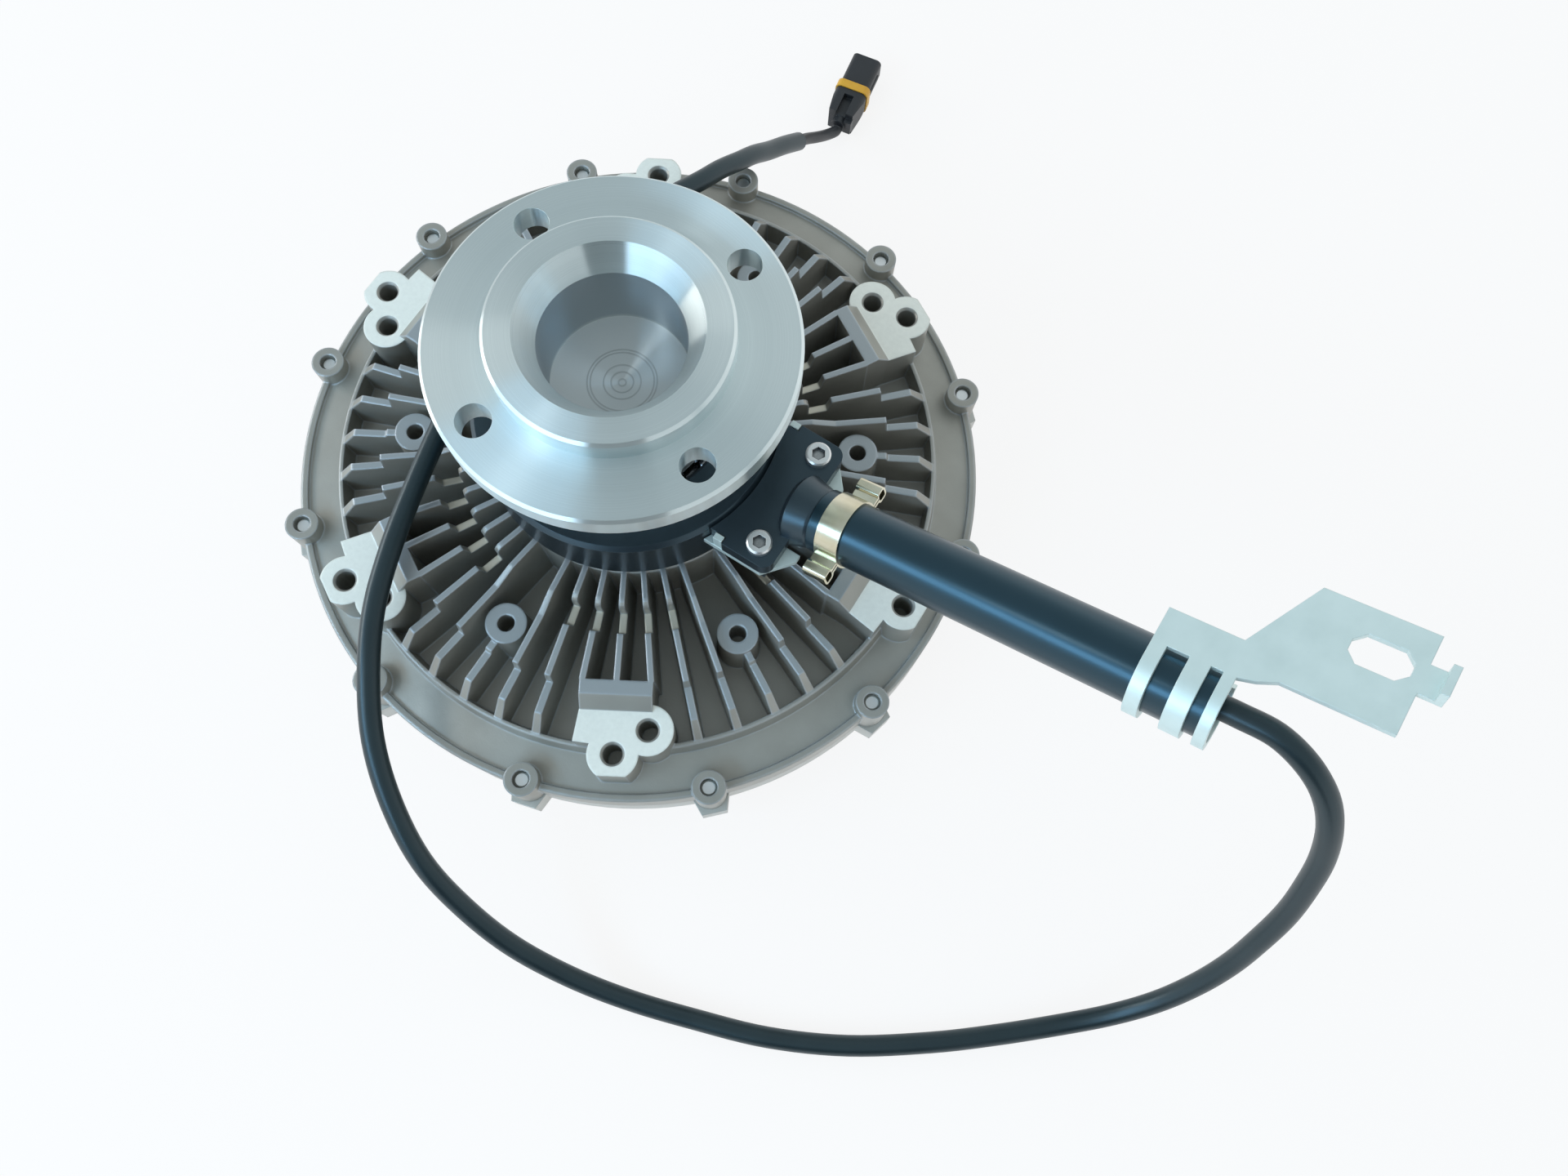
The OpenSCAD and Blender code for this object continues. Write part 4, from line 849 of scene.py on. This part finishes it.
@dataclass
class Cable:
    """The free cable and the thinner bundle of cores at its end."""

    hose: HoseLine = field(default_factory=HoseLine)
    radius: float = 3.75 * MM
    cores_radius: float = 2.4 * MM
    straight: float = 6.0 * MM
    steps: int = 6
    route_mm: tuple[Point, ...] = (
        (219, 0, 141), (230, -2, 139), (240, -5, 133), (248, -9, 124), (255, -14, 111),
        (260, -20, 97), (264, -27, 82), (266, -35, 67), (267, -44, 51), (265, -54, 37),
        (260, -65, 24), (251, -77, 13), (238, -90, 6), (222, -104, 4), (203, -119, 4),
        (178, -136, 4), (152, -149, 4), (126, -158, 4), (102, -165, 6), (80, -169, 12),
        (58, -170, 22), (38, -167, 34), (20, -161, 46), (3, -150, 57), (-12, -136, 66),
        (-25, -119, 71), (-36, -101, 73), (-44, -81, 74), (-50, -60, 75), (-55, -39, 76),
        (-60, -16, 76), (-62, 8, 76), (-59, 32, 76), (-54, 52, 75), (-48, 71, 73),
        (-43, 87, 70), (-39, 101, 66), (-37, 112, 62), (-35, 122, 57), (-34, 131, 51.5),
        (-33, 141, 43.5), (-32, 152, 35.5), (-31, 162, 27.5),
    )
    cores_mm: tuple[Point, ...] = (
        (-31.2, 160.4, 28.7), (-31, 162.3, 27.3), (-31, 169, 21.5), (-30, 176, 15.5),
        (-29, 183, 10),
    )
    connector_place: Point = (-28.2 * MM, 192.2 * MM, 6.6 * MM)
    connector_angle_deg: float = 99.5
    cores_straight: float = 3.0 * MM
    cores_gap: float = 0.85 * MM

    def connector_point(self, along: float) -> Array:
        """Point on the connector's axis at a distance from its cable end."""
        angle = math.radians(self.connector_angle_deg)
        axis = np.array([math.cos(angle), math.sin(angle), 0.0])
        return np.array(self.connector_place) + along * axis

    def build(self, finishes: Materials) -> list[bpy.types.Object]:
        """Lays the cable and its cores.

        Args:
            finishes: Materials by name.

        Returns:
            The new pieces.
        """
        exit_point = self.hose.point(self.hose.end)
        lead = np.array([exit_point, self.hose.point(self.hose.end + self.straight)])
        route = np.vstack([lead, np.array(self.route_mm, float) * MM])
        line = smooth_path(route, self.steps)
        sheath = round_cord("cable_sheath", line, self.radius)
        ends = [self.connector_point(-self.cores_straight), self.connector_point(-self.cores_gap)]
        cores_route = np.vstack([np.array(self.cores_mm, float) * MM, ends])
        cores = round_cord("core_sleeve", smooth_path(cores_route, self.steps), self.cores_radius)
        sheath.data.materials.append(finishes[SHEATH.name])
        cores.data.materials.append(finishes[CONNECTOR.name])
        for piece, node, slot in (
            (sheath, "cable", "black_rubber"),
            (cores, "core_bundle", "black_moulding"),
        ):
            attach(piece, Body.CARRIER.value)
            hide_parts(node)
        return [sheath, cores]


@dataclass
class WaveSpring:
    """Return spring of the valve: a wavy strip at rest; the real valve presses it flat as it lifts.
    """

    inner_r: float = 21.4 * MM
    outer_r: float = 24.6 * MM
    low_z: float = 35.35 * MM
    high_z: float = 37.95 * MM
    thickness: float = 0.6 * MM
    waves: int = 4
    steps: int = 192
    corners: int = 4
    seat_z: float = 38.0 * MM
    room: float = 2.7 * MM
    travel: float = 1.5 * MM

    def _points(self) -> Array:
        """Corners of the section round the ring, whose height is a cosine of waves times angle."""
        angle = np.arange(self.steps) * (2 * np.pi / self.steps)
        swing = (self.high_z - self.low_z - self.thickness) / 2
        middle = (self.high_z + self.low_z) / 2 + swing * np.cos(self.waves * angle)
        radius = np.array([self.inner_r, self.outer_r, self.outer_r, self.inner_r])
        lift = np.array([-0.5, -0.5, 0.5, 0.5]) * self.thickness
        x, y = np.outer(np.cos(angle), radius), np.outer(np.sin(angle), radius)
        return np.stack([x, y, middle[:, None] + lift], axis=-1).reshape(-1, 3)

    def _faces(self) -> Array:
        """Corner numbers of the faces: each joins two corners of a section to the next one's."""
        step, corner = np.meshgrid(np.arange(self.steps), np.arange(self.corners), indexing="ij")
        here = self.corners * step
        after = self.corners * ((step + 1) % self.steps)
        beside = (corner + 1) % self.corners
        faces = [here + corner, after + corner, after + beside, here + beside]
        return np.stack(faces, axis=-1).reshape(-1, 4)

    def build(self, finishes: Materials) -> list[bpy.types.Object]:
        """Makes the spring.

        Args:
            finishes: Materials by name.

        Returns:
            The new piece, in a list.
        """
        mesh = bpy.data.meshes.new("wave_spring")
        mesh.from_pydata(self._points().tolist(), [], self._faces().tolist())
        mesh.materials.append(finishes[DARK_STEEL.name])
        spring = link(bpy.data.objects.new("wave_spring", mesh))
        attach(spring, Body.HUB.value)
        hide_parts("return_spring")
        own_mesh(spring)
        return [spring]


@dataclass
class PhotoCamera:
    """The camera that matches the photograph's view, taken as 1920 by 1440 pixels."""

    place: Point = (0.12271, -0.11464, 0.44853)
    azimuth_deg: float = 26.66
    elevation_deg: float = 74.3
    roll_deg: float = 5.84
    lens_mm: float = 26.377
    sensor_mm: float = 36.0

    def build(self) -> None:
        """Adds the camera and makes it the scene's own."""
        azimuth, elevation = math.radians(self.azimuth_deg), math.radians(self.elevation_deg)
        level = Vector((math.cos(azimuth), math.sin(azimuth), 0.0))
        away = Vector((math.sin(azimuth), -math.cos(azimuth), 0.0))
        back = math.cos(elevation) * away + math.sin(elevation) * Vector((0.0, 0.0, 1.0))
        right = Matrix.Rotation(math.radians(self.roll_deg), 3, back) @ level
        up = back.cross(right)
        data = bpy.data.cameras.new("photo_camera")
        data.lens = self.lens_mm
        data.sensor_width = self.sensor_mm
        camera = link(bpy.data.objects.new("photo_camera", data))
        turn = Matrix((right, up, back)).transposed().to_4x4()
        camera.matrix_world = Matrix.Translation(Vector(self.place)) @ turn
        bpy.context.scene.camera = camera


@dataclass(frozen=True)
class Lamp:
    """A lamp like a window that faces the object.

    Attributes:
        name: Name of the lamp.
        place: Its place.
        size: Its width and height.
        watts: Its power.
        colour: Its colour.
        aim: The point that it faces.
    """

    name: str
    place: Point
    size: Range
    watts: float
    colour: Colour
    aim: Point = (0.05, 0.0, 0.08)

    def build(self) -> None:
        """Adds the lamp."""
        data = bpy.data.lights.new(self.name, "AREA")
        data.shape = "RECTANGLE"
        data.size, data.size_y = self.size
        data.energy = self.watts
        data.color = self.colour
        lamp = link(bpy.data.objects.new(self.name, data))
        lamp.location = self.place
        sight = Vector(self.aim) - Vector(self.place)
        lamp.rotation_euler = sight.to_track_quat("-Z", "Y").to_euler()


LAMPS = (
    Lamp("window_strip", (-0.45, -1.1, 0.85), (1.6, 0.36), 11.0, (0.42, 0.72, 1.0)),
    Lamp("window_pane", (-0.47, -0.70, 1.16), (0.25, 0.25), 0.8, (0.85, 0.94, 1.0)),
    Lamp("window_low", (-1.43, -0.46, 0.42), (0.9, 0.3), 5.5, (1.0, 0.98, 0.95)),
    Lamp("window_back", (0.35, 1.1, 0.9), (1.6, 1.6), 2.0, (1.0, 0.97, 0.92)),
)


@dataclass
class Studio:
    """Pale floor, soft lamps, a sky that is white at the horizon, and a dark card.

    Attributes:
        lamps: The lamps.
        floor_size: Length of the floor's sides.
        floor_colour: Colour of the floor.
        floor_white: Share of plain white that the camera and reflections see in the floor.
        horizon: Colour of the sky at the horizon.
        zenith: Colour of the sky overhead.
        sky_ends: Rise of the direction up to which the sky is the horizon's, and from which it is
            the zenith's.
        card_place: Place of the card.
        card_size: Length of its sides.
        card_colour: Its colour.
        card_rough: Its roughness.
    """

    lamps: Sequence[Lamp] = LAMPS
    floor_size: float = 6.0
    floor_colour: Colour = (0.86, 0.87, 0.88)
    floor_white: float = 0.85
    horizon: Colour = (0.97, 0.99, 1.0)
    zenith: Colour = (0.48, 0.55, 0.58)
    sky_ends: Range = (0.15, 0.6)
    card_place: Point = (0.62, -0.95, 0.35)
    card_size: float = 0.8
    card_colour: Colour = (0.01, 0.01, 0.012)
    card_rough: float = 0.9

    def build(self) -> None:
        """Adds the floor, the sky, the card and the lamps."""
        self._floor()
        self._sky()
        self._card()
        for lamp in self.lamps:
            lamp.build()

    def _floor(self) -> None:
        """Adds the floor: white to the camera and to reflections, with the shadow on it."""
        floor = square("floor", self.floor_size)
        material = bpy.data.materials.new("pale_floor")
        nodes = Nodes(material)
        diffuse = nodes.new("ShaderNodeBsdfDiffuse")
        nodes.feed(diffuse.inputs["Color"], self.floor_colour)
        glow = nodes.new("ShaderNodeEmission")
        nodes.feed(glow.inputs["Color"], (1.0, 1.0, 1.0))
        rays = nodes.new("ShaderNodeLightPath").outputs
        seen = nodes.larger(rays["Is Camera Ray"], rays["Is Glossy Ray"])
        seen = nodes.larger(seen, rays["Is Transmission Ray"])
        blend = nodes.new("ShaderNodeMixShader")
        nodes.feed(blend.inputs["Fac"], nodes.times(seen, self.floor_white))
        nodes.feed(blend.inputs[1], diffuse.outputs["BSDF"])
        nodes.feed(blend.inputs[2], glow.outputs["Emission"])
        nodes.show(blend.outputs["Shader"])
        floor.data.materials.append(material)

    def _sky(self) -> None:
        """Sets the sky: its colour goes from the horizon's to the zenith's."""
        world = bpy.data.worlds.new("pale_room")
        bpy.context.scene.world = world
        world.use_nodes = True
        tree = world.node_tree
        split = tree.nodes.new("ShaderNodeSeparateXYZ")
        sight = tree.nodes.new("ShaderNodeTexCoord").outputs["Generated"]
        tree.links.new(sight, split.inputs[0])
        ramp = tree.nodes.new("ShaderNodeValToRGB")
        stops = zip(ramp.color_ramp.elements, self.sky_ends, (self.horizon, self.zenith))
        for stop, position, colour in stops:
            stop.position = position
            stop.color = (*colour, 1.0)
        tree.links.new(split.outputs["Z"], ramp.inputs["Fac"])
        tree.links.new(ramp.outputs["Color"], tree.nodes["Background"].inputs["Color"])

    def _card(self) -> None:
        """Adds the dark card that only reflections see, as a studio sets it by bright metal."""
        card = square("dark_card", self.card_size)
        card.location = self.card_place
        card.rotation_euler = (-Vector(self.card_place)).to_track_quat("Z", "Y").to_euler()
        card.visible_camera = False
        card.visible_diffuse = False
        card.visible_shadow = False
        material = bpy.data.materials.new("dark_card")
        Nodes(material).principled(Base_Color=self.card_colour, Roughness=self.card_rough)
        card.data.materials.append(material)


def dress_nodes(nodes: dict[str, bpy.types.Object]) -> Materials:
    """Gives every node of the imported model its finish.

    Args:
        nodes: The model's nodes by name.

    Returns:
        The materials by name.
    """
    made: Materials = {}
    for finish, names in NODE_FINISHES.items():
        material = finish.material()
        made[finish.name] = material
        for name in names:
            mesh = nodes[name].data
            mesh.materials.clear()
            mesh.materials.append(material)
    missing = set(nodes) - {name for names in NODE_FINISHES.values() for name in names}
    if missing:
        raise ValueError(f"no finish for {sorted(missing)}")
    return made


def main() -> None:
    """Builds the scene."""
    logging.basicConfig(level=logging.INFO, format="%(name)s: %(message)s")
    bpy.ops.wm.read_factory_settings(use_empty=True)
    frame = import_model()
    bpy.context.scene.view_settings.view_transform = "Standard"
    PhotoCamera().build()
    Studio().build()
    finishes = dress_nodes(frame["nodes"])
    pieces = Cable().build(finishes) + WaveSpring().build(finishes)
    for piece in pieces:
        LOG.info("built %s", piece.name)


if __name__ == "__main__":
    main()
